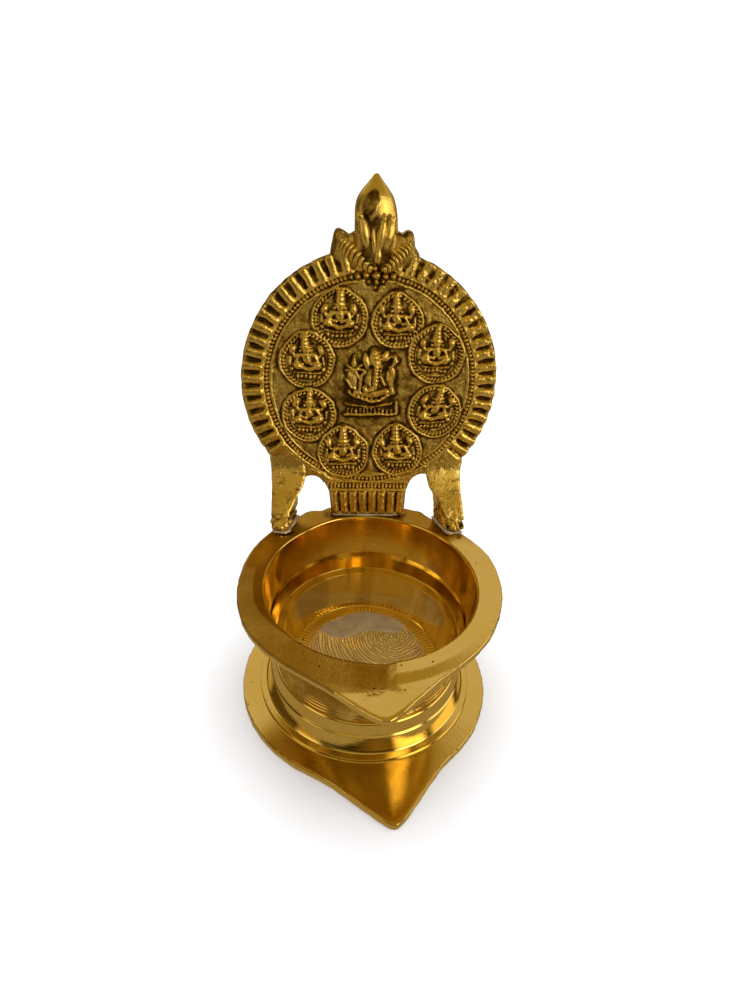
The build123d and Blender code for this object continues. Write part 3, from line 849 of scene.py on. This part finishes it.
def make_plate_field():
    """The disc inside the bead ring: fine relief in front, a plain cast back."""
    fine, step = 300, 5

    def disc_grid(count):
        a, b = np.meshgrid(np.linspace(-1, 1, count + 1), np.linspace(-1, 1, count + 1), indexing="xy")
        return FIELD_R * a * np.sqrt(1 - b * b / 2), FIELD_R * b * np.sqrt(1 - a * a / 2)

    x, v = disc_grid(fine)
    height = soften(plate_height(x, v), 1)
    # Painted shadow round the middle of the disc, an overall darkening, and patina and painted shade in the
    # recesses
    shaded = 0.34 * np.exp(-(((x + 1) / 8.5) ** 2) - ((v + 3) / 8.5) ** 2)
    hollow = np.clip(hollow_of(height) + 0.11 + shaded * np.clip(1 - height, 0, 1), 0, 1)
    front = plate_points(x, v + disc_u, height + cast_grain(x, v, height))
    back_x, back_v = disc_grid(fine // step)
    back_n = -plate_t + 0.10 * layered_noise(back_x, back_v, 0 * back_x, 4, 80)
    back = plate_points(back_x, back_v + disc_u, back_n)
    side = fine + 1
    coarse_side = fine // step + 1
    faces = grid_faces(side, side) + grid_faces(coarse_side, coarse_side, flip=True, start=len(front))

    def border(count):
        low = [(0, k) for k in range(count)] + [(k, count) for k in range(count)]
        high = [(count, count - k) for k in range(count)] + [(count - k, 0) for k in range(count)]
        return low + high

    outer = [i * side + j for i, j in border(fine)]
    inner = [len(front) + i * coarse_side + j for i, j in border(fine // step)]
    for k, here in enumerate(inner):
        after = inner[(k + 1) % len(inner)]
        for m in range(step):
            a = outer[k * step + m]
            b = outer[(k * step + m + 1) % len(outer)]
            faces.append((b, a, here))
        faces.append((outer[(k + 1) * step % len(outer)], here, after))
    hollow_all = np.append(hollow.ravel(), np.full(len(back), 0.55))
    cast_piece("plate_field", np.vstack([front, back]), faces, hollow_all)


# Arches beside the stem: place in degrees from the foot, and radius
LEFT_ARCH = (26.9, 3.25)
RIGHT_ARCH = (28.2, 3.75)
ARCH_REACH = 31.1


def border_reach(turn):
    """Outer radius of the disc at an angle in degrees from its foot, less the arches and the stem."""
    away = np.abs(turn)
    arch_turn = np.where(turn < 0, LEFT_ARCH[0], RIGHT_ARCH[0])
    arch_r = np.where(turn < 0, LEFT_ARCH[1], RIGHT_ARCH[1])
    from_arch = np.radians(away - arch_turn)
    beside = ARCH_REACH * np.sin(from_arch)
    arch = ARCH_REACH * np.cos(from_arch) - np.sqrt(np.clip(arch_r**2 - beside**2, 0, None))
    arch = np.where(np.abs(beside) < arch_r, arch, 99)
    stem = np.where(away < arch_turn - 4.6, -STEM_TOP / np.cos(np.radians(np.minimum(away, 60))), 99)
    return np.minimum(disc_r, np.minimum(arch, stem))


def make_plate_border():
    """The ring outside the field: beads, plain ring and flutes, with a plain cast back."""
    inner_r, turns, rows = FIELD_R, 1260, 50
    turn = -180 + 360 * np.arange(turns) / turns
    outer = border_reach(turn)
    outer = outer + 0.10 * noise(np.radians(turn) * 31, 0 * turn, 0 * turn, 1.6, 90) * (outer > 31)
    share = np.linspace(0, 1, rows)[:, None]
    reach = inner_r + share * (outer - inner_r)
    angle = np.radians(turn)[None, :] + 0 * reach
    x, v = reach * np.sin(angle), -reach * np.cos(angle)
    height = plate_height(x, v)
    overlap = 20
    margins = ((0, 0), (overlap, overlap))
    height = soften(np.pad(height, margins, mode="wrap"), 1)[:, overlap:-overlap]
    hollow = hollow_of(np.pad(height, margins, mode="wrap"), 10)[:, overlap:-overlap]
    front_n = height + cast_grain(x, v, height)
    # Edge and back
    edge_depth = np.array([-0.5, -1.0, -1.45, -1.7])
    edge_out = np.array([0.12, 0.14, 0.08, -0.15])
    edge_reach = outer[None, :] + edge_out[:, None]
    edge_reach = edge_reach + 0.05 * noise(angle[:4] * 31, edge_depth[:, None], 0 * angle[:4], 0.8, 91)
    back_reach = inner_r + np.linspace(0.97, 0, 7)[:, None] * (outer - inner_r)
    all_reach = np.vstack([reach, edge_reach, back_reach])
    all_n = np.vstack([front_n, edge_depth[:, None] + 0 * edge_reach, -plate_t + 0 * back_reach])
    angle = np.radians(turn)[None, :] + 0 * all_reach
    grain = 0.08 * layered_noise(all_reach * np.sin(angle), all_reach * np.cos(angle), all_n, 3, 92)
    all_n[rows + 4:] += grain[rows + 4:]
    points = plate_points(all_reach * np.sin(angle), disc_u - all_reach * np.cos(angle), all_n)
    faces = grid_faces(len(all_reach), turns, wrap=True)
    last = (len(all_reach) - 1) * turns
    for k in range(turns):
        faces.append((last + k, last + (k + 1) % turns, (k + 1) % turns, k))
    hollow_all = np.vstack([hollow, np.full_like(edge_reach, 0.3), np.full_like(back_reach, 0.55)])
    cast_piece("plate_border", points, faces, hollow_all.ravel())


def sheet_faces(rows, columns, start=0, flip=False):
    """Faces of a closed sheet: a front grid of points and, right after it, a back grid of the same places."""
    count = rows * columns
    faces = grid_faces(rows, columns, flip=flip, start=start)
    faces += grid_faces(rows, columns, flip=not flip, start=start + count)
    border = [(0, k) for k in range(columns - 1)] + [(k, columns - 1) for k in range(rows - 1)]
    border += [(rows - 1, k) for k in range(columns - 1, 0, -1)] + [(k, 0) for k in range(rows - 1, 0, -1)]
    loop = [start + i * columns + j for i, j in border]
    for a, b in zip(loop, loop[1:] + loop[:1]):
        quad = (b, a, count + a, count + b)
        faces.append(quad[::-1] if flip else quad)
    return faces


def make_stem():
    """The flared stem below the disc: a level row of beads over upright flutes."""
    rows, columns = 110, 220
    u = np.linspace(-0.35, 9.4, rows)[:, None] + np.zeros((1, columns))
    left = 8.85 + 0.12 * u + 0.95 * ease(5.9, 9.3, u) + 0.5 * ease(8.6, 9.6, u)
    right = 10.25 + 0.03 * u + 0.75 * ease(6.0, 9.5, u)
    half = (left + right) / 2
    s = np.linspace(-1, 1, columns)[None, :] + 0 * u
    x = s * half + (right - left) / 2
    edge = np.clip((1 - np.abs(s)) * half / 0.9, 0, 1)
    base = 0.45 * edge**0.5 - 0.15
    flute_place = (s * 8.0 / 2) % 1 - 0.5
    flutes = np.clip(1 - (flute_place / 0.45) ** 2, 0, None) ** 0.7
    fluted = ease(0.2, 0.7, u) * (1 - ease(6.0, 6.5, u))
    beads_place = (x / 0.95) % 1 - 0.5
    beads = mound(1 - (beads_place / 0.4) ** 2 - ((u - 8.0) / 0.75) ** 2)
    h = base + (1.25 * flutes - 0.30) * fluted * edge + 1.0 * beads * edge
    h = np.maximum(h, stroke(x, u, [(-12, 9.15), (12, 9.15)], 0.35, 0.75) * edge)
    h = np.maximum(h, stroke(x, u, [(-12, 6.75), (12, 6.75)], 0.32, 0.7) * edge)
    h = soften(h, 1)
    front = h + cast_grain(x, u, h)
    back = -plate_t + 0.08 * layered_noise(x, u, 0 * x, 3, 93)
    back = back + 0.4 * (1 - np.clip(edge * 2, 0, 1))
    points = np.vstack([plate_points(x, u, front), plate_points(x, u, back)])
    hollow = np.append((hollow_of(h, 10) * 0.9).ravel(), np.full(x.size, 0.5))
    cast_piece("plate_stem", points, sheet_faces(rows, columns), hollow, 60)


def rounded_section(corners, rounding, count=12):
    """Closed loop round a polygon with its corners rounded off."""
    corners = np.array(corners, float)
    loop = []
    for before, here, after in zip(np.roll(corners, 1, 0), corners, np.roll(corners, -1, 0)):
        to_before, to_after = before - here, after - here
        length_before, length_after = np.linalg.norm(to_before), np.linalg.norm(to_after)
        enter = here + to_before / length_before * min(rounding, length_before * 0.45)
        trimmed = to_after / length_after * min(rounding, length_after * 0.45)
        leave, next_enter = here + trimmed, after - trimmed
        for t in np.linspace(0, 1, 5)[:-1]:
            loop.append((1 - t) ** 2 * enter + 2 * t * (1 - t) * here + t * t * leave)
        for t in np.linspace(0, 1, count + 1)[:-1]:
            loop.append(leave + (next_enter - leave) * t)
    return np.array(loop)


def make_leg(name, side):
    """A wedge-shaped leg, whose front slopes forward to a knobby foot on the flange."""
    spread = 0.9 if side > 0 else 0.0
    # Height, then plan corners: front outer, front inner, back inner, back outer
    levels = [
        (rim_z - 0.25, [(23.4 + spread, 18.8), (20.1 + spread, 18.9), (17.9, 25.0), (21.8, 22.6)]),
        (rim_z + 1.6, [(24.2 + spread, 18.9), (20.2 + spread, 18.9), (17.7, 25.8), (22.4, 24.2)]),
        (rim_z + 3.6, [(24.3 + spread, 20.6), (19.6 + spread, 20.6), (17.5, 26.6), (23.3, 26.6)]),
        (rim_z + 6.6, [(24.2 + spread * 0.6, 23.6), (17.9 + spread * 0.4, 23.6), (17.2, 28.2), (24.1, 28.4)]),
        (rim_z + 8.8, [(24.2 + spread * 0.4, 25.9), (16.2, 25.9), (16.0, 29.6), (24.2, 29.8)]),
        (rim_z + 12.0, [(24.4, 28.5), (15.5, 28.3), (15.4, 30.9), (24.3, 30.9)]),
        (rim_z + 15.2, [(24.6, 29.75), (16.5, 29.6), (16.5, 31.5), (24.6, 31.5)]),
        (rim_z + 17.6, [(22.6, 30.35), (18.0, 30.35), (18.0, 32.0), (22.6, 32.0)]),
    ]
    sections = [rounded_section([(side * x, y) for x, y in corners], 0.8) for _, corners in levels]
    heights = np.array([level for level, _ in levels])
    rows = 90
    flat = curve_through([np.append(s.ravel(), z) for s, z in zip(sections, heights)], rows)
    columns = len(sections[0])
    xy = flat[:, :-1].reshape(rows, columns, 2)
    z = np.repeat(flat[:, -1:], columns, 1)
    centre = xy.mean(1, keepdims=True)
    outward = xy - centre
    outward = outward / np.linalg.norm(outward, axis=2, keepdims=True)
    foot = 1 - ease(rim_z + 2.4, rim_z + 4.6, z)

    def rough(size, seed, layers):
        return layered_noise(xy[..., 0], xy[..., 1], z, size, seed, layers)

    lumps = 0.09 * rough(2.6, 100 + side, 2) + 0.05 * rough(1.1, 105 + side, 2)
    knobs = 0.75 * foot * rough(1.2, 110 + side, 3)
    xy = xy + outward * (lumps + knobs)[..., None]
    points = np.concatenate([xy, z[..., None]], -1).reshape(-1, 3)
    points[:, 2] = np.maximum(points[:, 2], rim_z - 0.3)
    faces = grid_faces(rows, columns, wrap=True, flip=side < 0)
    bottom = list(range(columns))
    top = list(range((rows - 1) * columns, rows * columns))
    faces.append(bottom if side < 0 else bottom[::-1])
    faces.append(top[::-1] if side < 0 else top)
    # Random tone, and on the foot patina and painted shade between the knobs
    hollow = 0.22 + 0.60 * rough(0.8, 120, 3) + foot * (0.2 - 1.1 * knobs)
    cast_piece(name, points, faces, np.clip(hollow, 0, 1), 60)


def make_finial():
    """A smooth pointed bud held in a calyx of narrow sepals."""
    rows, columns = 190, 200
    tip_u, base_u = 82.1, 63.5
    t = np.linspace(0, 1, rows)[:, None]
    u = tip_u - (tip_u - base_u) * t**1.15
    down = tip_u - u
    # Distance down from the tip and half width there
    spans = [(0, 0), (0.25, 0.55), (0.8, 0.95), (2.1, 2.0), (3.1, 2.85), (4.6, 3.9), (6.1, 4.45), (8.1, 4.8)]
    spans += [(11.5, 4.95), (15, 4.9), (18.6, 4.4)]
    half = curve_through(spans, 240)
    half = np.interp(down, half[:, 0], half[:, 1])
    turn = np.arange(columns)[None, :] * 2 * pi / columns
    x = half * np.sin(turn)
    bulge = half * 0.72 * np.cos(turn)
    back = -np.minimum(half * 0.72, plate_t + 0.4) * np.abs(np.cos(turn)) ** 0.7
    n = np.where(np.cos(turn) > 0, bulge, back)
    u = u + 0 * turn
    front = ease(0.0, 0.35, np.cos(turn))
    sepals = np.maximum.reduce([
        dome(x, u, -3.1, 70.1, 1.15, 3.9, 1.25, 14),
        dome(x, u, -4.4, 68.2, 0.9, 2.6, 0.7, 4),
        dome(x, u, 0.95, 69.4, 1.05, 4.6, 1.45, -9),
        dome(x, u, -0.75, 68.0, 0.65, 3.2, 0.95, 5),
        dome(x, u, 3.0, 69.8, 1.25, 3.7, 1.3, -13),
        dome(x, u, 4.4, 67.6, 0.7, 2.6, 0.7, -4),
        dome(x, u, 0.35, 64.9, 1.0, 2.1, 1.5),
    ])
    calyx = (1 - ease(72.3, 73.6, u - 0.5 * np.cos(x * 2.2))) * front
    relief = sepals * front - 0.62 * calyx
    radial = np.stack([np.sin(turn) + 0 * u, np.cos(turn) + 0 * u], -1)
    x = x + radial[..., 0] * relief
    n = n + radial[..., 1] * relief + (0.02 + 0.05 * calyx) * layered_noise(x, u, n, 1.3, 130)
    # A painted dark reflection across the bud, left of its middle
    from_painted_reflection = np.hypot((x + 1.5 - 0.25 * (u - 75)) / 2.1, (u - 75.8) / 4.0)
    from_painted_reflection = from_painted_reflection + 0.15 * noise(x, u, n, 1.6, 133)
    painted_reflection = 0.72 * (1 - ease(0.70, 1.0, from_painted_reflection)) * front
    # Patina and painted shade in the calyx's groove, polished sepals, and the painted reflection
    hollow = np.clip(0.10 + 0.80 * calyx - sepals * 0.9 + painted_reflection, 0, 1)
    points = plate_points(x - 0.38 * ease(70, 77, u), u, n)
    faces = grid_faces(rows, columns, wrap=True)
    faces.append(list(range(rows * columns - 1, (rows - 1) * columns - 1, -1)))
    cast_piece("finial_bud", points, faces, hollow)


def cushion(outline, height_of, back_n, rings=24):
    """Points, faces and heights of a closed pad over a star-shaped outline of (x, u) points."""
    outline = np.array(outline)
    centre = outline.mean(0)
    share = np.sin(np.linspace(0.02, 1, rings) * pi / 2)[:, None, None]
    place = centre + share * (outline - centre)[None]
    x, u = place[..., 0], place[..., 1]
    edge = np.sqrt(np.clip(1 - share[..., 0] ** 4, 0, 1))
    n = back_n + (height_of(x, u) - back_n) * edge
    columns = len(outline)
    faces = grid_faces(rings, columns, wrap=True)
    faces.append(list(range(columns))[::-1])
    faces.append(list(range((rings - 1) * columns, rings * columns)))
    return x, u, n, faces


# Outline of each blade and the middle line of the ribbed ear on it, (x, u)
LEFT_BLADE = [(-3.0, 60.8), (-7.4, 61.6), (-10.2, 63.6), (-10.3, 65.6), (-9.95, 67.5), (-9.5, 69.6)]
LEFT_BLADE += [(-8.7, 70.4), (-7.3, 70.0), (-6.0, 69.3), (-4.4, 69.6), (-1.4, 65.0)]
RIGHT_BLADE = [(3.0, 60.8), (7.6, 61.4), (10.4, 63.4), (10.3, 65.4), (9.3, 67.0), (8.9, 69.2), (8.3, 70.3)]
RIGHT_BLADE += [(7.2, 70.5), (6.0, 69.9), (4.4, 70.0), (1.4, 65.0)]
LEFT_EAR = [(-0.7, 61.6), (-3.2, 63.7), (-5.5, 65.6), (-7.3, 67.1), (-8.6, 68.5)]
RIGHT_EAR = [(1.9, 61.6), (3.9, 63.3), (5.6, 65.1), (7.1, 66.8), (8.2, 68.4)]


def make_leaf(name, blade, ear, seed):
    """A curled blade with a ribbed ear lying across it."""
    outline = loop_through(blade, 200)
    side = np.sign(ear[-1][0])

    def blade_height(x, u):
        return 0.9 + stroke(x, u, blade[3:8], 0.75, 0.7)

    x, u, n, faces = cushion(outline, blade_height, -plate_t)
    if side > 0:  # its outline runs the other way round
        faces = [face[::-1] for face in faces]
    # Patina and painted shade, darker where the blade lies lower
    hollow = np.where(n > -0.2, np.clip(0.50 - (n - 1.0) * 0.5, 0.1, 1), 0.35)
    n = n + cast_grain(x, u, n)
    points = plate_points(x, u, n)
    # The ribbed ear: a half-round that comes to a point, with curved ribs across it
    rows, columns = 190, 48
    spine = curve_through(ear, rows)
    across = side_of(spine) * side
    t = np.linspace(0, 1, rows)
    spans = np.array([(0, 0.75), (0.12, 1.35), (0.35, 1.8), (0.6, 1.75), (0.8, 1.25), (1.0, 0.12)])
    half = np.interp(t, spans[:, 0], spans[:, 1]) + 0.06 * noise(t * 14, 0 * t, 0 * t, 1.0, seed)
    s = np.linspace(-1, 1, columns)
    bent = t[:, None] * 9.5 + 0.55 * (s[None, :] + 0.2) ** 2
    ribs = np.abs(np.sin(bent * pi)) ** 0.6
    ear_x = spine[:, :1] + across[:, :1] * half[:, None] * s
    ear_u = spine[:, 1:] + across[:, 1:] * half[:, None] * s
    arch = np.sqrt(np.clip(1 - s[None, :] ** 2, 0, 1))
    ear_n = 0.7 + arch * (0.85 + 0.75 * ribs) * (half / 1.8)[:, None] ** 0.5
    # Patina and painted shade between the ribs
    ear_hollow = np.clip(0.95 - ribs * 0.85, 0, 1)
    ear_points = np.vstack([plate_points(ear_x, ear_u, ear_n), plate_points(ear_x, ear_u, 0 * ear_n + 0.2)])
    faces += sheet_faces(rows, columns, len(points), side < 0)
    hollow = np.concatenate([hollow.ravel(), ear_hollow.ravel(), np.full(rows * columns, 0.5)])
    cast_piece(name, np.vstack([points, ear_points]), faces, hollow)


make_plate_field()
make_plate_border()
make_stem()
make_leg("left_leg", -1)
make_leg("right_leg", 1)
make_finial()
make_leaf("left_leaf", LEFT_BLADE, LEFT_EAR, 131)
make_leaf("right_leaf", RIGHT_BLADE, RIGHT_EAR, 132)


# ---- Solder and rivet ----
def make_floor_solder():
    """The wiped patch on the back of the cup's floor."""
    low, high = patch_low / MM, patch_high / MM
    middle_x, half_x = (low.x + high.x) / 2, (high.x - low.x) / 2
    middle_y, half_y = (low.y + high.y) / 2, (high.y - low.y) / 2
    shape = [(-0.99, -0.35), (-0.62, 0.40), (0.06, 0.98), (0.64, 0.62), (0.98, 0.05), (0.75, -0.60)]
    shape += [(0.10, -0.48), (-0.50, -0.95)]
    outline = loop_through([(middle_x + half_x * a, middle_y + half_y * b) for a, b in shape], 240)
    wobble = 1 + 0.03 * noise(outline[:, 0], outline[:, 1], 0 * outline[:, 0], 1.1, 140)
    centre = outline.mean(0)
    outline = centre + (outline - centre) * wobble[:, None]
    top = high.z

    def patch_height(x, y):
        return top + 0.05 * layered_noise(x, y, 0 * x, 2.5, 141)

    x, y, z, faces = cushion(outline, patch_height, floor_z - 0.15, 30)
    points = np.stack([x, y, z], -1).reshape(-1, 3)
    new_piece("floor_solder_patch", points, faces, solder, "solder", ["cup_floor_solder"])


def make_solder_run(name, path, size, node, seed):
    """A lumpy bead of solder along a few points on the flange."""
    count, around = 90, 20
    line = curve_through(path, count)
    side = side_of(line)
    t = np.linspace(0, 1, count)
    radius = size * (0.55 + 0.45 * np.sin(pi * t) ** 0.3) * (1 + 0.35 * noise(t * 14, 0 * t, 0 * t, 1, seed))
    radius[0] = radius[-1] = 0.08
    turn = np.arange(around)[None, :] * 2 * pi / around
    x = line[:, :1] + side[:, :1] * radius[:, None] * np.cos(turn)
    y = line[:, 1:] + side[:, 1:] * radius[:, None] * np.cos(turn)
    z = rim_z + radius[:, None] * 0.75 * np.sin(turn) + 0 * x
    z = np.maximum(z, rim_z - 0.15)
    points = np.stack([x, y, z], -1).reshape(-1, 3)
    faces = grid_faces(count, around, wrap=True)
    faces.append(list(range(around))[::-1])
    faces.append(list(range((count - 1) * around, count * around)))
    new_piece(name, points, faces, solder, "solder", [node])


make_floor_solder()
LEFT_FOOT = [(-24.0, 18.7), (-20.4, 18.4), (-18.9, 21.5), (-17.6, 25.6)]
RIGHT_FOOT = [(24.8, 18.7), (21.2, 18.4), (19.4, 21.4), (17.7, 25.4)]
STEM_FOOT = [(-8.6, 26.1), (-3, 25.9), (3, 25.9), (8.6, 26.1)]
make_solder_run("left_foot_solder", LEFT_FOOT, 0.55, "left_leg_solder", 150)
make_solder_run("right_foot_solder", RIGHT_FOOT, 0.55, "right_leg_solder", 160)
make_solder_run("stem_foot_solder", STEM_FOOT, 0.42, "stem_solder", 170)


def rivet_brass():
    """Hammered rivet brass with small facets and a warm oxide."""
    g = Graph(bpy.data.materials.new("rivet_brass"))
    vector = g.places()[0]
    cells = g.node("TexVoronoi", {"Vector": vector, "Scale": 0.9}).outputs["Distance"]
    cloud = g.noise(vector, 0.7, 4.0)
    colour = g.mix(g.ramp(cloud, 0.35, 0.7), BRASS, TARNISH_AND_SHADE)
    normal = g.bump(cells, 0.08)
    roughness = g.ramp(cloud, 0.3, 0.7, 0.22, 0.4)
    return g.finish(Base_Color=colour, Metallic=1.0, Roughness=roughness, Normal=normal)


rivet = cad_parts["centre_rivet"]
rivet.data.materials.clear()
rivet.data.materials.append(rivet_brass())


# ---- Floor, light and camera ----
def studio_floor():
    g = Graph(bpy.data.materials.new("studio_floor"))
    return g.finish(Base_Color=(0.80, 0.83, 0.89, 1), Roughness=0.9)


# A round studio in metres: a flat floor that bends up into a plain wall, not mirrored by the brass
FLAT_REACH, BEND_R, WALL_TOP, STUDIO_SIDES = 1.6, 1.2, 4.0, 96
bend = [(FLAT_REACH + BEND_R * sin(t), BEND_R - BEND_R * cos(t)) for t in np.linspace(0, pi / 2, 25)]
sweep = [(0.01, 0.0)] + bend + [(FLAT_REACH + BEND_R, WALL_TOP)]
turns = [2 * pi * k / STUDIO_SIDES for k in range(STUDIO_SIDES)]
sweep_points = [(reach * cos(t), reach * sin(t), z) for reach, z in sweep for t in turns]
sweep_faces = grid_faces(len(sweep), STUDIO_SIDES, wrap=True) + [tuple(range(STUDIO_SIDES))]
floor_mesh = bpy.data.meshes.new("floor")
floor_mesh.from_pydata(sweep_points, [], sweep_faces)
floor_mesh.shade_smooth()
floor_mesh.materials.append(studio_floor())
floor = bpy.data.objects.new("floor", floor_mesh)
floor.visible_glossy = False
bpy.context.scene.collection.objects.link(floor)

# A broad overhead light for the floor alone; the brass shows the softboxes below
overhead_data = bpy.data.lights.new("overhead", "AREA")
overhead_data.shape = "DISK"
overhead_data.size = 3.0
overhead_data.energy = 75.0
overhead = bpy.data.objects.new("overhead", overhead_data)
overhead.location = (0.1, 0.4, 2.2)
overhead.visible_glossy = False
bpy.context.scene.collection.objects.link(overhead)

# Softboxes round the lamp: azimuth span (0 behind it, 90 to its right), elevation span, softness, colour
SOFTBOXES = [
    ((-62, 64), (14, 57), 5, (0.61, 0.48, 0.285)),
    ((76, 112), (-4, 33), 4, (1.45, 1.18, 0.72)),
    ((122, 150), (4, 38), 5, (3.2, 2.55, 1.40)),
    ((-136, -112), (2, 30), 5, (1.1, 0.87, 0.49)),
    ((152, 190), (18, 42), 5, (0.44, 0.33, 0.13)),
    ((-190, -148), (18, 42), 5, (0.44, 0.33, 0.13)),
]
ABOVE = (0.36, 0.235, 0.05)
BELOW = (0.36, 0.265, 0.13)
BESIDE = (0.11, 0.07, 0.022)
SHADE = (0.030, 0.020, 0.007)


def studio_world():
    """Soft surroundings: warm brown room, dark behind the camera, with a few softboxes."""
    g = Graph(bpy.data.worlds.new("studio"))
    direction = g.node("TexCoord").outputs["Generated"]
    x, y, z = g.node("SeparateXYZ", {0: direction}).outputs
    azimuth = g.times(g.math("ARCTAN2", x, y), 180 / pi)
    elevation = g.times(g.math("ARCSINE", z), 180 / pi)

    def rise(value, edge, softness):
        inputs = {"Value": value, "From Min": edge - softness, "From Max": edge + softness}
        made = g.node("MapRange", inputs, interpolation_type="SMOOTHSTEP")
        return made.outputs["Result"]

    def span(value, low, high, softness):
        return g.times(rise(value, low, softness), rise(g.times(value, -1.0), -high, softness))

    colour = g.mix(rise(elevation, 34, 6), (*BESIDE, 1), (*ABOVE, 1))
    colour = g.mix(rise(elevation, -8, 8), (*BELOW, 1), colour)
    behind_camera = g.times(rise(g.math("ABSOLUTE", azimuth), 142, 10), span(elevation, 0, 14, 5))
    colour = g.mix(behind_camera, colour, (*SHADE, 1))
    for azimuths, elevations, softness, light in SOFTBOXES:
        box = g.times(span(azimuth, *azimuths, softness), span(elevation, *elevations, softness))
        colour = g.mix(box, colour, (*light, 1))
    background = g.node("Background", {"Color": colour, "Strength": 1.0})
    out = g.node("OutputWorld")
    g.tree.links.new(background.outputs[0], out.inputs["Surface"])
    return g.owner


bpy.context.scene.world = studio_world()
bpy.context.scene.view_settings.view_transform = "Standard"

camera_data = bpy.data.cameras.new("camera")
camera_data.lens = 26.139  # with its place and aim, fitted to the photo's circles and outline
camera_data.sensor_width = 36
camera_data.clip_start = 0.005
camera = bpy.data.objects.new("camera", camera_data)
camera.location = Vector((-13.85, -127.06, 149.17)) * MM
forward = Vector((0.0858, 0.8105, -0.5794)).normalized()
up = Vector((-0.0087, 0.5821, 0.8131))
right = forward.cross(up).normalized()
up = right.cross(forward)
camera.rotation_mode = "QUATERNION"
camera.rotation_quaternion = Matrix((right, up, -forward)).transposed().to_quaternion()
bpy.context.scene.collection.objects.link(camera)
bpy.context.scene.camera = camera
